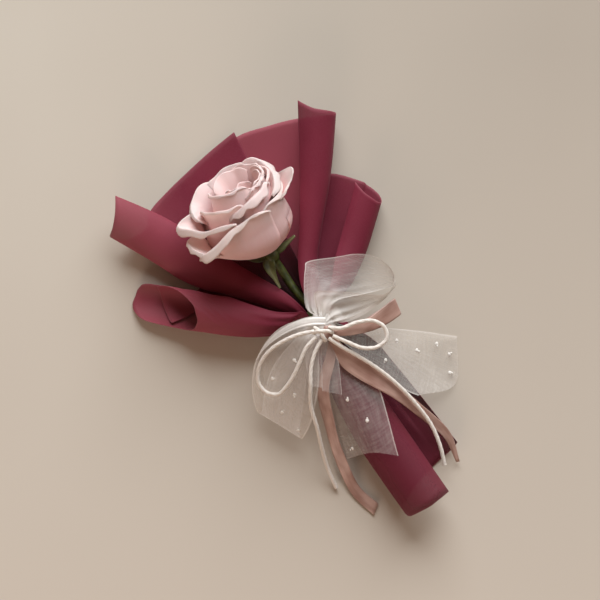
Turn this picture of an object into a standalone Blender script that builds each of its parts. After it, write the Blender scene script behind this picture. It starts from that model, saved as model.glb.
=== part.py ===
"""Single rose bouquet lying on its back: one rose in two wrapped paper sheets, tied with three ribbons."""

import math

import bmesh
import bpy
import numpy as np
from mathutils import Matrix, Vector

# Lengths are in millimetres from the tie, with +Y towards the bloom, +X to its right and +Z up.
# SHIFT moves the tie so that the origin is under the middle of the whole bunch.
MM = 0.001
SHIFT = (3.9, 0.6, 0.0)

NECK_HEIGHT = 16.0
NECK_HALF = 7.0
PAPER = 0.7
OUTER_NECK = 10.8
INNER_NECK = 9.4
LINER_NECK = 8.0
FAN_ROWS = 8
HANDLE_ROWS = 5

BLOOM_BASE = (-4.4, 48.6, 21.3)
BLOOM_RISE = 30.0
BLOOM_TURN = 9.5
PETAL = 0.9
PETAL_COLUMNS = 7
HEART_COLUMNS = 5
HEART_BELLY = 10.0
PETAL_STEPS = (0.0, 0.12, 0.23, 0.34, 0.58, 0.7, 0.83, 1.0)
PETAL_ROOT = 4.5
BASE_ASIDE = 4.0
BASE_REACH = 16.0
CORE_SIDES = 12
CORE_ASIDE = 3.4

STEM_RADIUS = 2.2
STEM_POINTS = 16
CUP_RADIUS = 4.4
CUP_BELOW_BLOOM = 6.6
SEPAL = 1.0
TAPE_INNER = 2.7
TAPE_OUTER = 7.0
TAPE_HALF = 6.0
TAPE_SIDES = 20

ORGANZA = 0.6
SATIN = 0.6
CORD = 2.3
WELD = 0.02


def clear_scene():
    for item in list(bpy.data.objects):
        bpy.data.objects.remove(item)


def collection(name):
    made = bpy.data.collections.new(name)
    bpy.context.scene.collection.children.link(made)
    return made


def material(name, color, roughness):
    made = bpy.data.materials.new(name)
    made.use_nodes = True
    shader = made.node_tree.nodes["Principled BSDF"]
    shader.inputs["Base Color"].default_value = (*color, 1.0)
    shader.inputs["Roughness"].default_value = roughness
    return made


def world(point):
    """A point in millimetres from the tie, as metres in the part's frame."""
    return Vector([(value + moved) * MM for value, moved in zip(point, SHIFT)])


def add_object(name, mesh, home, finish):
    item = bpy.data.objects.new(name, mesh)
    home.objects.link(item)
    mesh.materials.append(finish)
    for face in mesh.polygons:
        face.use_smooth = True
    return item


def smooth_at(stations, values, where):
    """The smooth curve through values at stations, read at where."""
    stations = np.asarray(stations, float)
    values = np.asarray(values, float)
    slopes = np.gradient(values, stations, axis=0)
    where = np.atleast_1d(np.asarray(where, float))
    found = np.clip(np.searchsorted(stations, where, side="right") - 1, 0, len(stations) - 2)
    step = stations[found + 1] - stations[found]
    part = (where - stations[found]) / step
    inside = np.clip(part, 0.0, 1.0)
    shape = (slice(None),) + (None,) * (values.ndim - 1)
    t, h = inside[shape], step[shape]
    start, end = values[found], values[found + 1]
    result = (
        (2 * t**3 - 3 * t**2 + 1) * start
        + (t**3 - 2 * t**2 + t) * h * slopes[found]
        + (3 * t**2 - 2 * t**3) * end
        + (t**3 - t**2) * h * slopes[found + 1]
    )
    beyond = np.where(part < 0, part, np.where(part > 1, part - 1, 0.0))[shape]
    return result + beyond * h * np.where(beyond < 0, slopes[found], slopes[found + 1])


def smooth_route(points, count):
    """count points at even steps along the smooth curve through points."""
    points = np.asarray(points, float)
    steps = np.linalg.norm(np.diff(points, axis=0), axis=1)
    stations = np.concatenate([[0.0], np.cumsum(steps)])
    fine = smooth_at(stations, points, np.linspace(0, stations[-1], 12 * len(points)))
    run = np.concatenate([[0.0], np.cumsum(np.linalg.norm(np.diff(fine, axis=0), axis=1))])
    even = np.linspace(0, run[-1], count)
    return np.stack([np.interp(even, run, fine[:, axis]) for axis in range(3)], axis=1)


def sheet(name, places, thickness, home, finish):
    """A sheet of even thickness whose middle passes through places[column][row]."""
    columns, rows = places.shape[0] - 1, places.shape[1] - 1
    grid = bmesh.new()
    bmesh.ops.create_grid(grid, x_segments=columns, y_segments=rows, size=1.0)
    for vertex in grid.verts:
        column = round((vertex.co.x + 1) / 2 * columns)
        row = round((vertex.co.y + 1) / 2 * rows)
        vertex.co = world(places[column, row])
    bmesh.ops.triangulate(grid, faces=grid.faces[:], quad_method="FIXED")
    mesh = bpy.data.meshes.new(name)
    grid.to_mesh(mesh)
    grid.free()
    item = add_object(name, mesh, home, finish)
    shell = item.modifiers.new("Thickness", "SOLIDIFY")
    shell.thickness = thickness * MM
    shell.offset = 0.0
    return item


def turned(name, profile, centre, right, ahead, sides, home, finish):
    """A solid turned about the line ahead through centre. profile holds radius and height pairs."""
    shape = bmesh.new()
    places = [world(np.array(centre) + radius * right + height * ahead) for radius, height in profile]
    line = [shape.verts.new(place) for place in places]
    edges = [shape.edges.new(pair) for pair in zip(line, line[1:])]
    if profile[0][0] > 0.0:
        edges.append(shape.edges.new((line[-1], line[0])))
    bmesh.ops.spin(
        shape,
        geom=line + edges,
        cent=world(centre),
        axis=Vector(ahead),
        angle=2 * math.pi,
        steps=sides,
    )
    bmesh.ops.remove_doubles(shape, verts=shape.verts[:], dist=WELD * MM)
    bmesh.ops.recalc_face_normals(shape, faces=shape.faces[:])
    mesh = bpy.data.meshes.new(name)
    shape.to_mesh(mesh)
    shape.free()
    return add_object(name, mesh, home, finish)


# A curl is a roll of paper round a line that leaves the neck. Its stations hold the distance along
# the line, its centre, half width and half height, heading, and the angles where the paper starts
# and stops going round: 0 is the right side looking along the roll, 90 its top.


def curl_points(stations, turns, where, tighten=0.0):
    """Points of a curl: turns and where hold a share of the way round and a distance for each."""
    table = np.asarray(stations, float)
    found = smooth_at(table[:, 0], table[:, 1:], where)
    x, y, z, half_width, half_height, heading, start, stop = found.T
    angle = np.radians(start + (stop - start) * turns)
    course = np.radians(heading)
    inward = 1.0 - tighten * (1.0 - turns) ** 2 * np.clip((where - 45.0) / 40.0, 0.0, 1.0)
    aside = half_width * inward * np.cos(angle)
    upward = half_height * inward * np.sin(angle)
    return np.stack([x + aside * np.sin(course), y - aside * np.cos(course), z + upward], axis=1)


def curl_columns(stations, count, far_ends, near_ends=None, tighten=0.0):
    """The columns of a curl. far_ends holds where each share of the way round ends."""
    columns = []
    for turn in np.linspace(0.0, 1.0, count):
        far = np.interp(turn, *zip(*far_ends))
        steps = [NECK_HALF + (far - NECK_HALF) * row / FAN_ROWS for row in range(FAN_ROWS + 1)]
        steps = [-NECK_HALF] + steps
        if near_ends:
            near = np.interp(turn, *zip(*near_ends))
            handle = [near + (-NECK_HALF - near) * row / HANDLE_ROWS for row in range(HANDLE_ROWS)]
            steps = handle + steps
        columns.append(curl_points(stations, np.full(len(steps), turn), np.array(steps), tighten))
    return columns


def neck_point(radius, angle, along):
    turned = math.radians(angle)
    return np.array([radius * math.cos(turned), along, NECK_HEIGHT + radius * math.sin(turned)])


def panel_columns(radius, angles, far_points, near_points=None, settled=1.0):
    """Columns that run straight from the neck to far points, and lie level beyond the share settled."""
    columns = []
    for index, (angle, far) in enumerate(zip(angles, far_points)):
        low, high = neck_point(radius, angle, -NECK_HALF), neck_point(radius, angle, NECK_HALF)
        far = np.array(far, float)
        column = [low]
        for row in range(FAN_ROWS + 1):
            share = row / FAN_ROWS
            point = high + (far - high) * share
            point[2] = far[2] + (high[2] - far[2]) * max(0.0, 1 - share / settled) ** 1.8
            column.append(point)
        if near_points is not None:
            near = np.array(near_points[index], float)
            handle = []
            for row in range(HANDLE_ROWS):
                share = row / HANDLE_ROWS
                point = near + (low - near) * share
                point[2] = near[2] + (low[2] - near[2]) * share**1.8
                handle.append(point)
            column = handle + column
        columns.append(np.array(column))
    return columns


# Inner sheet: left wing, back panel, tall strip
LEFT_WING = [
    (-7.0, 0.0, -7.0, 16.0, 9.4, 9.4, 90.0, 112.0, 232.0),
    (7.0, 0.0, 7.0, 16.0, 9.4, 9.4, 92.0, 112.0, 232.0),
    (22.0, -8.5, 19.5, 13.4, 8.2, 8.6, 112.0, 72.0, 262.0),
    (45.0, -22.4, 39.0, 10.3, 8.6, 7.0, 119.4, 34.0, 270.0),
    (70.0, -35.3, 60.4, 7.8, 12.6, 6.2, 119.4, 28.0, 270.0),
    (97.0, -46.0, 85.3, 9.2, 13.0, 7.9, 119.4, 28.0, 270.0),
    (125.0, -57.8, 110.7, 11.6, 13.0, 10.3, 119.4, 48.0, 270.0),
]
LEFT_WING_ENDS = [(0.0, 129.8), (0.19, 125.9), (0.33, 123.7), (0.6, 122.6), (0.8, 113.0), (1.0, 107.0)]
TALL_STRIP = [
    (-7.0, 0.0, -7.0, 16.0, 9.4, 9.4, 90.0, 308.0, 448.0),
    (7.0, 0.0, 7.0, 16.0, 9.4, 9.4, 88.0, 308.0, 448.0),
    (31.0, 11.0, 28.0, 14.2, 6.8, 7.4, 62.0, 265.0, 486.0),
    (45.0, 20.6, 39.4, 13.0, 7.0, 7.6, 56.6, 255.0, 494.0),
    (79.0, 43.0, 66.3, 12.3, 9.8, 9.0, 56.6, 250.0, 498.0),
    (116.0, 65.0, 96.0, 12.6, 12.0, 10.2, 56.6, 250.0, 500.0),
]
TALL_STRIP_ENDS = [(0.0, 110.5), (0.35, 112.0), (0.45, 112.4), (0.8, 115.3), (1.0, 120.1)]
BACK_PANEL_ANGLES = [242.0, 252.0, 262.0, 272.0, 283.0, 295.0]
BACK_PANEL_ENDS = [
    (-36.0, 99.0, 1.4),
    (-19.0, 102.5, 1.4),
    (1.0, 105.5, 1.4),
    (21.0, 107.2, 1.4),
    (38.0, 102.3, 1.5),
    (50.0, 98.0, 1.9),
]

# Liner: the short panel in front of the back panel
LINER_ANGLES = [172.0, 196.0, 218.0, 240.0, 262.0, 285.0, 312.0]
LINER_ENDS = [
    (-48.3, 93.0, 4.0),
    (-42.3, 100.8, 2.9),
    (-28.0, 104.5, 2.8),
    (-11.0, 107.2, 2.8),
    (3.0, 109.0, 2.8),
    (12.5, 109.8, 2.8),
    (20.8, 110.3, 2.8),
]

# Outer sheet: lower roll, right wing, handle
LOWER_ROLL = [
    (-119.0, -8.6, -119.0, 12.2, 13.8, 11.8, 90.0, 22.0, 250.0),
    (-60.0, -7.8, -60.0, 12.6, 13.3, 11.8, 90.0, 22.0, 250.0),
    (-22.0, -2.4, -22.0, 15.2, 12.0, 11.2, 90.0, 75.0, 240.0),
    (-7.0, 0.0, -7.0, 16.0, 10.8, 10.8, 90.0, 118.0, 235.0),
    (7.0, -0.4, 6.5, 16.0, 10.8, 10.8, 94.0, 110.0, 236.0),
    (22.0, -17.0, 11.6, 15.2, 8.8, 10.2, 135.0, 68.0, 250.0),
    (35.0, -28.4, 19.2, 13.9, 9.9, 10.9, 139.5, 46.0, 262.0),
    (50.0, -40.3, 29.6, 12.9, 10.7, 11.6, 139.5, 10.0, 285.0),
    (66.0, -51.6, 40.9, 12.75, 11.3, 12.2, 139.5, -85.0, 305.0),
    (82.0, -63.3, 52.0, 12.8, 11.8, 12.3, 139.5, -160.0, 330.0),
    (101.0, -76.9, 65.4, 12.8, 12.2, 12.3, 139.5, -160.0, 330.0),
]
LOWER_ROLL_ENDS = [
    (0.0, 80.0),
    (0.08, 82.6),
    (0.18, 86.5),
    (0.3, 90.0),
    (0.37, 80.0),
    (0.42, 70.0),
    (0.51, 66.0),
    (0.61, 67.0),
    (0.68, 70.5),
    (0.71, 73.0),
    (0.74, 82.0),
    (0.77, 98.0),
    (0.85, 102.5),
    (0.95, 100.0),
    (1.0, 94.0),
]
HANDLE_LEFT_ENDS = [(0.0, -119.4), (0.3, -120.4), (0.6, -118.3), (0.7, -114.5), (1.0, -108.0)]
RIGHT_WING = [
    (-110.0, 11.6, -110.0, 12.25, 14.2, 11.8, 90.0, 272.0, 332.0),
    (-60.0, 8.8, -60.0, 12.65, 13.4, 11.8, 90.0, 272.0, 338.0),
    (-22.0, 3.4, -22.0, 15.2, 13.2, 11.2, 90.0, 290.0, 365.0),
    (-7.0, 0.0, -7.0, 16.0, 10.8, 10.8, 90.0, 308.0, 410.0),
    (7.0, 0.4, 6.5, 16.0, 10.8, 10.8, 86.0, 306.0, 414.0),
    (18.0, 14.4, 9.6, 14.4, 9.4, 9.8, 48.0, 275.0, 450.0),
    (33.0, 28.6, 16.8, 11.3, 9.4, 8.8, 36.9, 250.0, 482.0),
    (75.0, 62.2, 42.0, 9.3, 9.6, 8.4, 36.9, 240.0, 500.0),
]
RIGHT_WING_ENDS = [
    (0.0, 79.0),
    (0.15, 77.5),
    (0.3, 75.0),
    (0.45, 71.4),
    (0.62, 71.0),
    (0.8, 73.0),
    (1.0, 77.5),
]
HANDLE_RIGHT_ENDS = [(0.0, -102.2), (0.6, -101.4), (1.0, -99.9)]
UNDER_PANEL_ANGLES = [243.0, 254.0, 265.0, 276.0, 287.0, 298.0]
UNDER_PANEL_ENDS = [
    (-47.5, 51.0, 0.5),
    (-36.0, 55.0, 0.35),
    (-12.0, 60.0, 0.35),
    (18.0, 62.0, 0.35),
    (38.0, 64.0, 0.4),
    (51.2, 61.2, 0.8),
]
HANDLE_UNDER_ENDS = [
    (-10.0, -106.5, 0.4),
    (-6.5, -105.5, 0.35),
    (-2.5, -104.5, 0.35),
    (2.0, -103.8, 0.35),
    (6.0, -103.0, 0.35),
    (9.5, -102.5, 0.4),
]


def paper_inner_sheet(home, finish):
    columns = curl_columns(LEFT_WING, 12, LEFT_WING_ENDS)
    columns += panel_columns(INNER_NECK, BACK_PANEL_ANGLES, BACK_PANEL_ENDS)
    columns += curl_columns(TALL_STRIP, 12, TALL_STRIP_ENDS)
    return sheet("paper_inner_sheet", np.array(columns), PAPER, home, finish)


def paper_liner(home, finish):
    columns = panel_columns(LINER_NECK, LINER_ANGLES, LINER_ENDS)
    return sheet("paper_liner", np.array(columns), PAPER, home, finish)


def paper_outer_sheet(home, finish):
    columns = curl_columns(LOWER_ROLL, 22, LOWER_ROLL_ENDS, HANDLE_LEFT_ENDS, 0.2)
    columns += panel_columns(OUTER_NECK, UNDER_PANEL_ANGLES, UNDER_PANEL_ENDS, HANDLE_UNDER_ENDS, 0.72)
    columns += curl_columns(RIGHT_WING, 12, RIGHT_WING_ENDS, HANDLE_RIGHT_ENDS)
    return sheet("paper_outer_sheet", np.array(columns), PAPER, home, finish)


# Bloom


# Petals from the outside in. Each holds how far its heart sits to the right, its belly's radius,
# how early it flares, and its rim across as (angle, radius, height, width of the folded lip) round
# the bloom's axis: angle 0 is the right side and 90 the side that faces up.
PETALS = [
    (
        0.0,
        24.5,
        0.35,
        [
            (337, 24.6, 36.4, 0.6),
            (310, 24.8, 38, 0.8),
            (280, 24.6, 38.4, 0.8),
            (248, 24.4, 37, 0.6),
        ],
    ),
    (
        0.0,
        23.2,
        0.35,
        [
            (266, 24, 37.6, 0.6),
            (240, 24.6, 38.6, 0.9),
            (214, 25, 37.8, 0.9),
            (190, 24.6, 35, 0.6),
        ],
    ),
    (
        0.0,
        23.2,
        0.35,
        [
            (70, 24, 34.4, 0.8),
            (54, 25.8, 36.4, 1.4),
            (30, 26.6, 37.2, 2.0),
            (4, 25.6, 37, 1.2),
            (-18, 24.6, 36, 0.8),
            (-40, 24, 34.4, 0.6),
        ],
    ),
    (
        -1.0,
        24.2,
        0.3,
        [
            (155, 34.4, 21.6, 2.2),
            (144, 33.4, 24.6, 4.4),
            (129, 30.2, 29, 5.2),
            (113, 26.8, 32.4, 4.6),
            (99, 24.4, 34.4, 2.8),
            (84, 24.4, 35.8, 1.0),
            (70, 25.6, 36.4, 1.8),
            (56, 26, 34.6, 1.2),
        ],
    ),
    (
        0.0,
        24.0,
        0.15,
        [
            (192, 28, 23, 1.4),
            (178, 33.6, 26.4, 2.8),
            (164, 35, 25.6, 2.4),
            (150, 33.4, 23, 2.4),
            (138, 28.6, 20, 1.0),
        ],
    ),
    (
        0.0,
        23.2,
        0.1,
        [
            (201, 24, 36, 1.2),
            (190, 27.6, 36.6, 2.4),
            (179, 34, 36, 3.6),
            (168, 30.6, 34.2, 4.6),
            (150, 27.6, 34.6, 4.2),
            (128, 25.6, 36, 2.8),
            (104, 24.4, 36.6, 1.0),
        ],
    ),
    (
        0.0,
        23.8,
        0.02,
        [
            (-20, 24.4, 35.4, 0.6),
            (-12, 27, 37, 0.8),
            (-3, 34, 38.6, 1.0),
            (4, 34.4, 36.8, 0.8),
            (12, 30.6, 34, 0.8),
            (24, 27, 33.8, 1.4),
            (36, 25.6, 34.2, 0.8),
        ],
    ),
    (
        0.0,
        16.0,
        0.12,
        [
            (252, 22.4, 41, 1.0),
            (232, 23.8, 42.4, 2.2),
            (212, 24.8, 41.4, 2.6),
            (194, 25, 39, 2.6),
            (178, 24.6, 37, 2.0),
            (164, 23.6, 35.6, 0.8),
        ],
    ),
    (
        0.0,
        16.0,
        0.15,
        [
            (318, 21.6, 40.8, 1.4),
            (296, 22.4, 42, 2.2),
            (272, 22.8, 42.8, 2.2),
            (250, 22.8, 42, 1.6),
            (232, 22, 40.4, 0.8),
        ],
    ),
    (
        1.0,
        16.6,
        0.14,
        [
            (290, 20.6, 43, 1.6),
            (310, 22.6, 43.6, 3.4),
            (334, 22.8, 43, 4.8),
            (356, 22.8, 42, 5.0),
            (380, 23.4, 41, 4.2),
            (404, 23.8, 39.6, 1.6),
        ],
    ),
    (
        1.0,
        20.8,
        0.35,
        [
            (186, 21.6, 38.2, 0.8),
            (164, 22, 41, 1.4),
            (138, 21.4, 43, 1.8),
            (112, 20.2, 43.6, 1.4),
            (88, 19, 42.6, 0.8),
        ],
    ),
    (
        1.0,
        20.2,
        0.35,
        [
            (118, 20.6, 37, 1.2),
            (102, 20.4, 40.6, 3.6),
            (82, 20, 42.4, 5.0),
            (56, 19.8, 43.2, 4.8),
            (36, 20.2, 44, 3.0),
            (20, 20, 43.2, 0.8),
        ],
    ),
    (
        2.0,
        13.4,
        0.15,
        [
            (350, 17.6, 43.6, 0.8),
            (326, 18.6, 44.8, 1.4),
            (300, 18.6, 45, 1.4),
            (276, 18, 44, 0.8),
        ],
    ),
    (
        3.0,
        17.0,
        0.3,
        [
            (402, 18, 42.8, 0.8),
            (376, 18.8, 44, 1.4),
            (350, 18.6, 44.6, 1.4),
            (322, 18, 44.4, 0.8),
        ],
    ),
    (
        3.4,
        18.4,
        0.4,
        [
            (204, 16.6, 43.6, 0.8),
            (174, 15.6, 46.4, 1.6),
            (140, 13.6, 47.6, 1.8),
            (108, 12, 47.8, 1.4),
            (80, 11, 47, 1.0),
            (60, 10.6, 45.4, 0.6),
        ],
    ),
    (
        4.4,
        16.4,
        0.4,
        [
            (90, 14, 43.4, 0.8),
            (64, 14.6, 45.2, 1.6),
            (38, 14.8, 46, 1.6),
            (12, 14.6, 45.4, 0.8),
        ],
    ),
    (
        4.0,
        9.6,
        0.15,
        [
            (304, 14, 45, 0.8),
            (270, 14.6, 45.8, 1.4),
            (234, 15, 45.4, 1.4),
            (200, 14.6, 44, 0.8),
        ],
    ),
    (
        5.6,
        12.4,
        0.35,
        [
            (404, 13, 44.8, 0.8),
            (372, 13.4, 45.8, 1.2),
            (340, 13.6, 46, 1.2),
            (308, 13.2, 45.2, 0.8),
        ],
    ),
    (
        6.4,
        8.6,
        0.35,
        [
            (186, 9.8, 44, 0.6),
            (146, 9.2, 45.6, 1.0),
            (104, 8.6, 45.6, 1.0),
            (64, 8.6, 44, 0.6),
        ],
    ),
    (7.6, 8.0, 0.35, [(72, 9, 44.4, 0.6), (34, 9.6, 45.2, 1.0), (-6, 9.6, 45.2, 1.0), (-44, 9, 44.4, 0.6)]),
    (9.0, 4.8, 0.35, [(300, 5.6, 43, 0.6), (230, 6, 44, 0.8), (160, 5.6, 43.8, 0.8), (90, 5, 43, 0.6)]),
]
# From a petal's root to its rim: share of its length, spread, and how much its radius takes from its
# root, belly, rim and lip, then its height low down and how much that takes from the rim and the lip.
PETAL_PROFILE = [
    (0.0, 0.6, 1.0, 0.0, 0.0, 0.0, 0.0, 0.0, 0.0),
    (0.12, 0.8, 0.0, 0.48, 0.0, 0.0, 2.4, 0.0, 0.0),
    (0.34, 0.94, 0.0, 1.0, 0.0, 0.0, 13.0, 0.0, 0.0),
    (0.58, 1.0, 0.0, 1.0, 0.0, 0.0, 0.0, 0.78, 0.0),
    (0.8, 1.0, 0.0, 0.0, 1.0, -0.06, 0.0, 1.0, -0.1),
    (0.83, 1.0, 0.0, 0.0, 1.0, 0.04, 0.0, 1.0, 0.0),
    (0.87, 1.0, 0.0, 0.0, 1.0, 0.2, 0.0, 1.0, -0.06),
    (1.0, 1.0, 0.0, 0.0, 1.0, 0.72, 0.0, 1.0, -0.7),
]
FLARE_STEP = 3

# The core's radius and height, from its lower end up.
CORE_PROFILE = [
    (0.0, -1.6),
    (4.6, -1.0),
    (8.8, 1.6),
    (9.4, 6.0),
    (6.4, 14.0),
    (3.4, 26.0),
    (2.6, 36.0),
    (0.0, 38.0),
]


def bloom_axes():
    rise, turn = math.radians(BLOOM_RISE), math.radians(BLOOM_TURN)
    ahead = np.array([math.sin(turn) * math.cos(rise), math.cos(turn) * math.cos(rise), math.sin(rise)])
    right = np.array([math.cos(turn), -math.sin(turn), 0.0])
    return right, np.cross(right, ahead), ahead


def petal_places(aside, belly, flare, rim, seed):
    """The places of a petal that follows the rim points across, one row of its length a column."""
    rim = np.array(rim, float)
    columns = HEART_COLUMNS if belly < HEART_BELLY else PETAL_COLUMNS
    across = np.linspace(0.0, 1.0, columns + 1)
    angle, radius, height, lip = smooth_at(np.linspace(0.0, 1.0, len(rim)), rim, across).T
    side = np.abs(2.0 * across - 1.0)
    radius = radius + 0.3 * np.sin(across * 9.0 + seed * 2.1)
    height = height + 0.4 * np.sin(across * 8.0 + seed * 3.7) - 0.04 * height * side**6
    profile = np.array(PETAL_PROFILE)
    profile[FLARE_STEP, 3:5] = 1.0 - flare, flare
    profile[FLARE_STEP, 7] -= 0.23 * flare
    shares = smooth_at(profile[:, 0], profile[:, 1:], PETAL_STEPS).T
    spread, root, middle, top, lip_out, low, rise, drop = shares
    out = root * PETAL_ROOT + middle * belly + np.outer(radius, top) + np.outer(lip, lip_out)
    up = low + np.outer(height, rise) + np.outer(lip, drop)
    centre = rim[:, 0].mean()
    course = np.radians(centre + np.outer(angle - centre, spread))
    right, front, ahead = bloom_axes()
    lean = aside * np.clip(up / 40.0, 0.0, 1.0) + BASE_ASIDE * np.clip(1.0 - up / BASE_REACH, 0.0, 1.0) ** 2
    spoke = np.cos(course)[..., None] * right + np.sin(course)[..., None] * front
    return np.array(BLOOM_BASE) + out[..., None] * spoke + lean[..., None] * right + up[..., None] * ahead


def core(home, finish):
    """The solid heart that every petal's root sinks into."""
    right, front, ahead = bloom_axes()
    centre = np.array(BLOOM_BASE) + CORE_ASIDE * right
    return turned("rose_bloom", CORE_PROFILE, centre, right, ahead, CORE_SIDES, home, finish)


def drop_scraps(item):
    """Keeps the outer skin: a sealed hollow is filled and a loose crumb is dropped."""
    shape = bmesh.new()
    shape.from_mesh(item.data)
    left = set(shape.verts)
    islands = []
    while left:
        island, edge = set(), [left.pop()]
        while edge:
            vertex = edge.pop()
            island.add(vertex)
            for link in vertex.link_edges:
                other = link.other_vert(vertex)
                if other in left:
                    left.discard(other)
                    edge.append(other)
        islands.append(island)
    keep = max(islands, key=len)
    lost = [vertex for island in islands if island is not keep for vertex in island]
    bmesh.ops.delete(shape, geom=lost, context="VERTS")
    shape.to_mesh(item.data)
    shape.free()


def join_all(base, others, solver="EXACT"):
    """One solid out of base and every object of the collection others, which is then removed."""
    join = base.modifiers.new("Join", "BOOLEAN")
    join.operation = "UNION"
    join.operand_type = "COLLECTION"
    join.collection = others
    join.solver = solver
    bpy.context.view_layer.update()
    graph = bpy.context.evaluated_depsgraph_get()
    joined = bpy.data.meshes.new_from_object(base.evaluated_get(graph))
    base.modifiers.clear()
    base.data = joined
    for item in list(others.objects):
        bpy.data.objects.remove(item)
    bpy.data.collections.remove(others)
    drop_scraps(base)
    for face in base.data.polygons:
        face.use_smooth = True
    return base


def rose_bloom(home, finish):
    petals = collection("petals")
    for number, shape in enumerate(PETALS):
        sheet(f"petal_{number}", petal_places(*shape, number), PETAL, petals, finish)
    return join_all(core(home, finish), petals, "MANIFOLD")


# Stem, with the green cup under the bloom and its sepals
STEM_ROUTE = [
    (-1.2, 42.6, 18.2),
    (-1.2, 35.0, 15.8),
    (-1.6, 26.0, 15.0),
    (-1.4, 17.0, 15.4),
    (0.0, 7.0, 16.0),
    (0.0, -7.0, 16.0),
    (1.0, -30.0, 14.4),
    (1.6, -58.0, 12.4),
    (2.0, -84.0, 11.0),
]
# The points that each sepal follows from its root, with the half width at each. The last three
# lie under the bloom.
SEPALS = [
    [
        (-2.8, 43.4, 20.4, 1.8),
        (-5.0, 39.8, 22.8, 3.3),
        (-6.2, 36.0, 23.2, 2.5),
        (-6.8, 31.5, 22.8, 1.3),
        (-7.6, 25.4, 21.6, 0.6),
    ],
    [(0.4, 43.6, 19.4, 1.5), (4.4, 43.0, 19.6, 1.9), (9.0, 43.6, 19.0, 1.4), (15.6, 44.4, 19.2, 0.6)],
    [(1.4, 44.0, 16.4, 1.6), (4.8, 47.0, 13.6, 2.6), (8.4, 51.0, 11.6, 1.9), (11.4, 55.0, 10.6, 0.6)],
    [(-1.6, 44.4, 15.6, 1.6), (-1.8, 49.0, 12.2, 2.8), (-2.4, 55.0, 9.8, 2.0), (-3.0, 61.0, 8.4, 0.6)],
    [(-4.0, 43.6, 17.0, 1.6), (-8.0, 46.0, 14.6, 2.6), (-12.0, 49.4, 12.6, 1.9), (-15.4, 52.6, 11.6, 0.6)],
]


def tube(name, route, diameter, home, finish, resolution=2):
    curve = bpy.data.curves.new(name, "CURVE")
    curve.dimensions = "3D"
    curve.bevel_depth = diameter / 2 * MM
    curve.bevel_resolution = resolution
    curve.use_fill_caps = True
    spline = curve.splines.new("POLY")
    spline.points.add(len(route) - 1)
    for point, place in zip(spline.points, route):
        point.co = (*world(place), 1.0)
    curve.materials.append(finish)
    item = bpy.data.objects.new(name, curve)
    home.objects.link(item)
    return item


def as_mesh(item):
    """The same object with its curve made a mesh, so that a Boolean can join it."""
    graph = bpy.context.evaluated_depsgraph_get()
    mesh = bpy.data.meshes.new_from_object(item.evaluated_get(graph))
    shape = bmesh.new()
    shape.from_mesh(mesh)
    bmesh.ops.remove_doubles(shape, verts=shape.verts[:], dist=0.00001)
    bmesh.ops.recalc_face_normals(shape, faces=shape.faces[:])
    shape.to_mesh(mesh)
    shape.free()
    name, home = item.name, item.users_collection[0]
    finish = item.data.materials[0]
    bpy.data.objects.remove(item)
    mesh.materials.clear()
    return add_object(name, mesh, home, finish)


def blade(name, points, home, finish, count=9):
    """A narrow leaf that follows points, each with its half width."""
    table = np.array(points, float)
    steps = np.linalg.norm(np.diff(table[:, :3], axis=0), axis=1)
    stations = np.concatenate([[0.0], np.cumsum(steps)])
    fine = smooth_at(stations, table, np.linspace(0, stations[-1], count))
    heading = np.gradient(fine[:, :2], axis=0)
    heading /= np.linalg.norm(heading, axis=1)[:, None]
    aside = np.stack([heading[:, 1], -heading[:, 0], np.zeros(count)], axis=1) * fine[:, 3:4]
    middle = fine[:, :3]
    sink = np.array([0.0, 0.0, -0.35]) * fine[:, 3:4]
    places = np.stack([middle - aside, middle + sink, middle + aside])
    return sheet(name, places, SEPAL, home, finish)


def cup(home, finish):
    """The swelling that carries the bloom."""
    right, front, ahead = bloom_axes()
    centre = np.array(BLOOM_BASE) + BASE_ASIDE * right - CUP_BELOW_BLOOM * ahead
    mesh = bpy.data.meshes.new("cup")
    shape = bmesh.new()
    bmesh.ops.create_uvsphere(shape, u_segments=12, v_segments=8, radius=CUP_RADIUS * MM)
    bmesh.ops.transform(shape, matrix=Matrix.Translation(world(centre)), verts=shape.verts[:])
    shape.to_mesh(mesh)
    shape.free()
    return add_object("cup", mesh, home, finish)


def rose_stem(home, finish):
    pieces = collection("stem_pieces")
    cup(pieces, finish)
    for index, points in enumerate(SEPALS):
        blade(f"sepal_{index}", points, pieces, finish)
    route = smooth_route(STEM_ROUTE, STEM_POINTS)
    stem = as_mesh(tube("rose_stem", route, 2 * STEM_RADIUS, home, finish, 3))
    return join_all(stem, pieces)


# Ribbons. Each run of ribbon is a pair of edges, and each edge the points that it passes.
ORGANZA_UPPER_LOOP = (
    [
        (1.0, -1.0, 30.4),
        (-2.4, 7.4, 29.6),
        (2.5, 17.0, 28.0),
        (9.6, 26.2, 25.6),
        (13.6, 28.6, 24.4),
        (26.9, 22.1, 24.8),
        (36.9, 17.2, 24.6),
        (44.4, 10.6, 25.0),
        (48.4, 1.0, 27.6),
        (46.4, -7.0, 31.6),
        (37.5, -10.4, 35.0),
        (25.8, -1.5, 36.6),
        (13.9, 8.4, 36.0),
        (5.8, 12.2, 34.2),
        (0.6, 1.0, 31.0),
    ],
    [
        (3.4, -4.0, 29.8),
        (7.0, -1.0, 29.4),
        (11.0, 1.6, 28.4),
        (16.0, 1.4, 27.2),
        (21.0, -0.6, 25.6),
        (28.0, -3.6, 23.0),
        (35.0, -6.4, 20.4),
        (41.0, -8.4, 19.8),
        (45.4, -9.4, 20.8),
        (44.6, -10.0, 24.0),
        (37.6, -12.0, 27.0),
        (29.5, -12.8, 29.4),
        (20.0, -12.6, 31.0),
        (11.0, -10.2, 31.6),
        (4.0, -5.6, 31.0),
    ],
)
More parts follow.
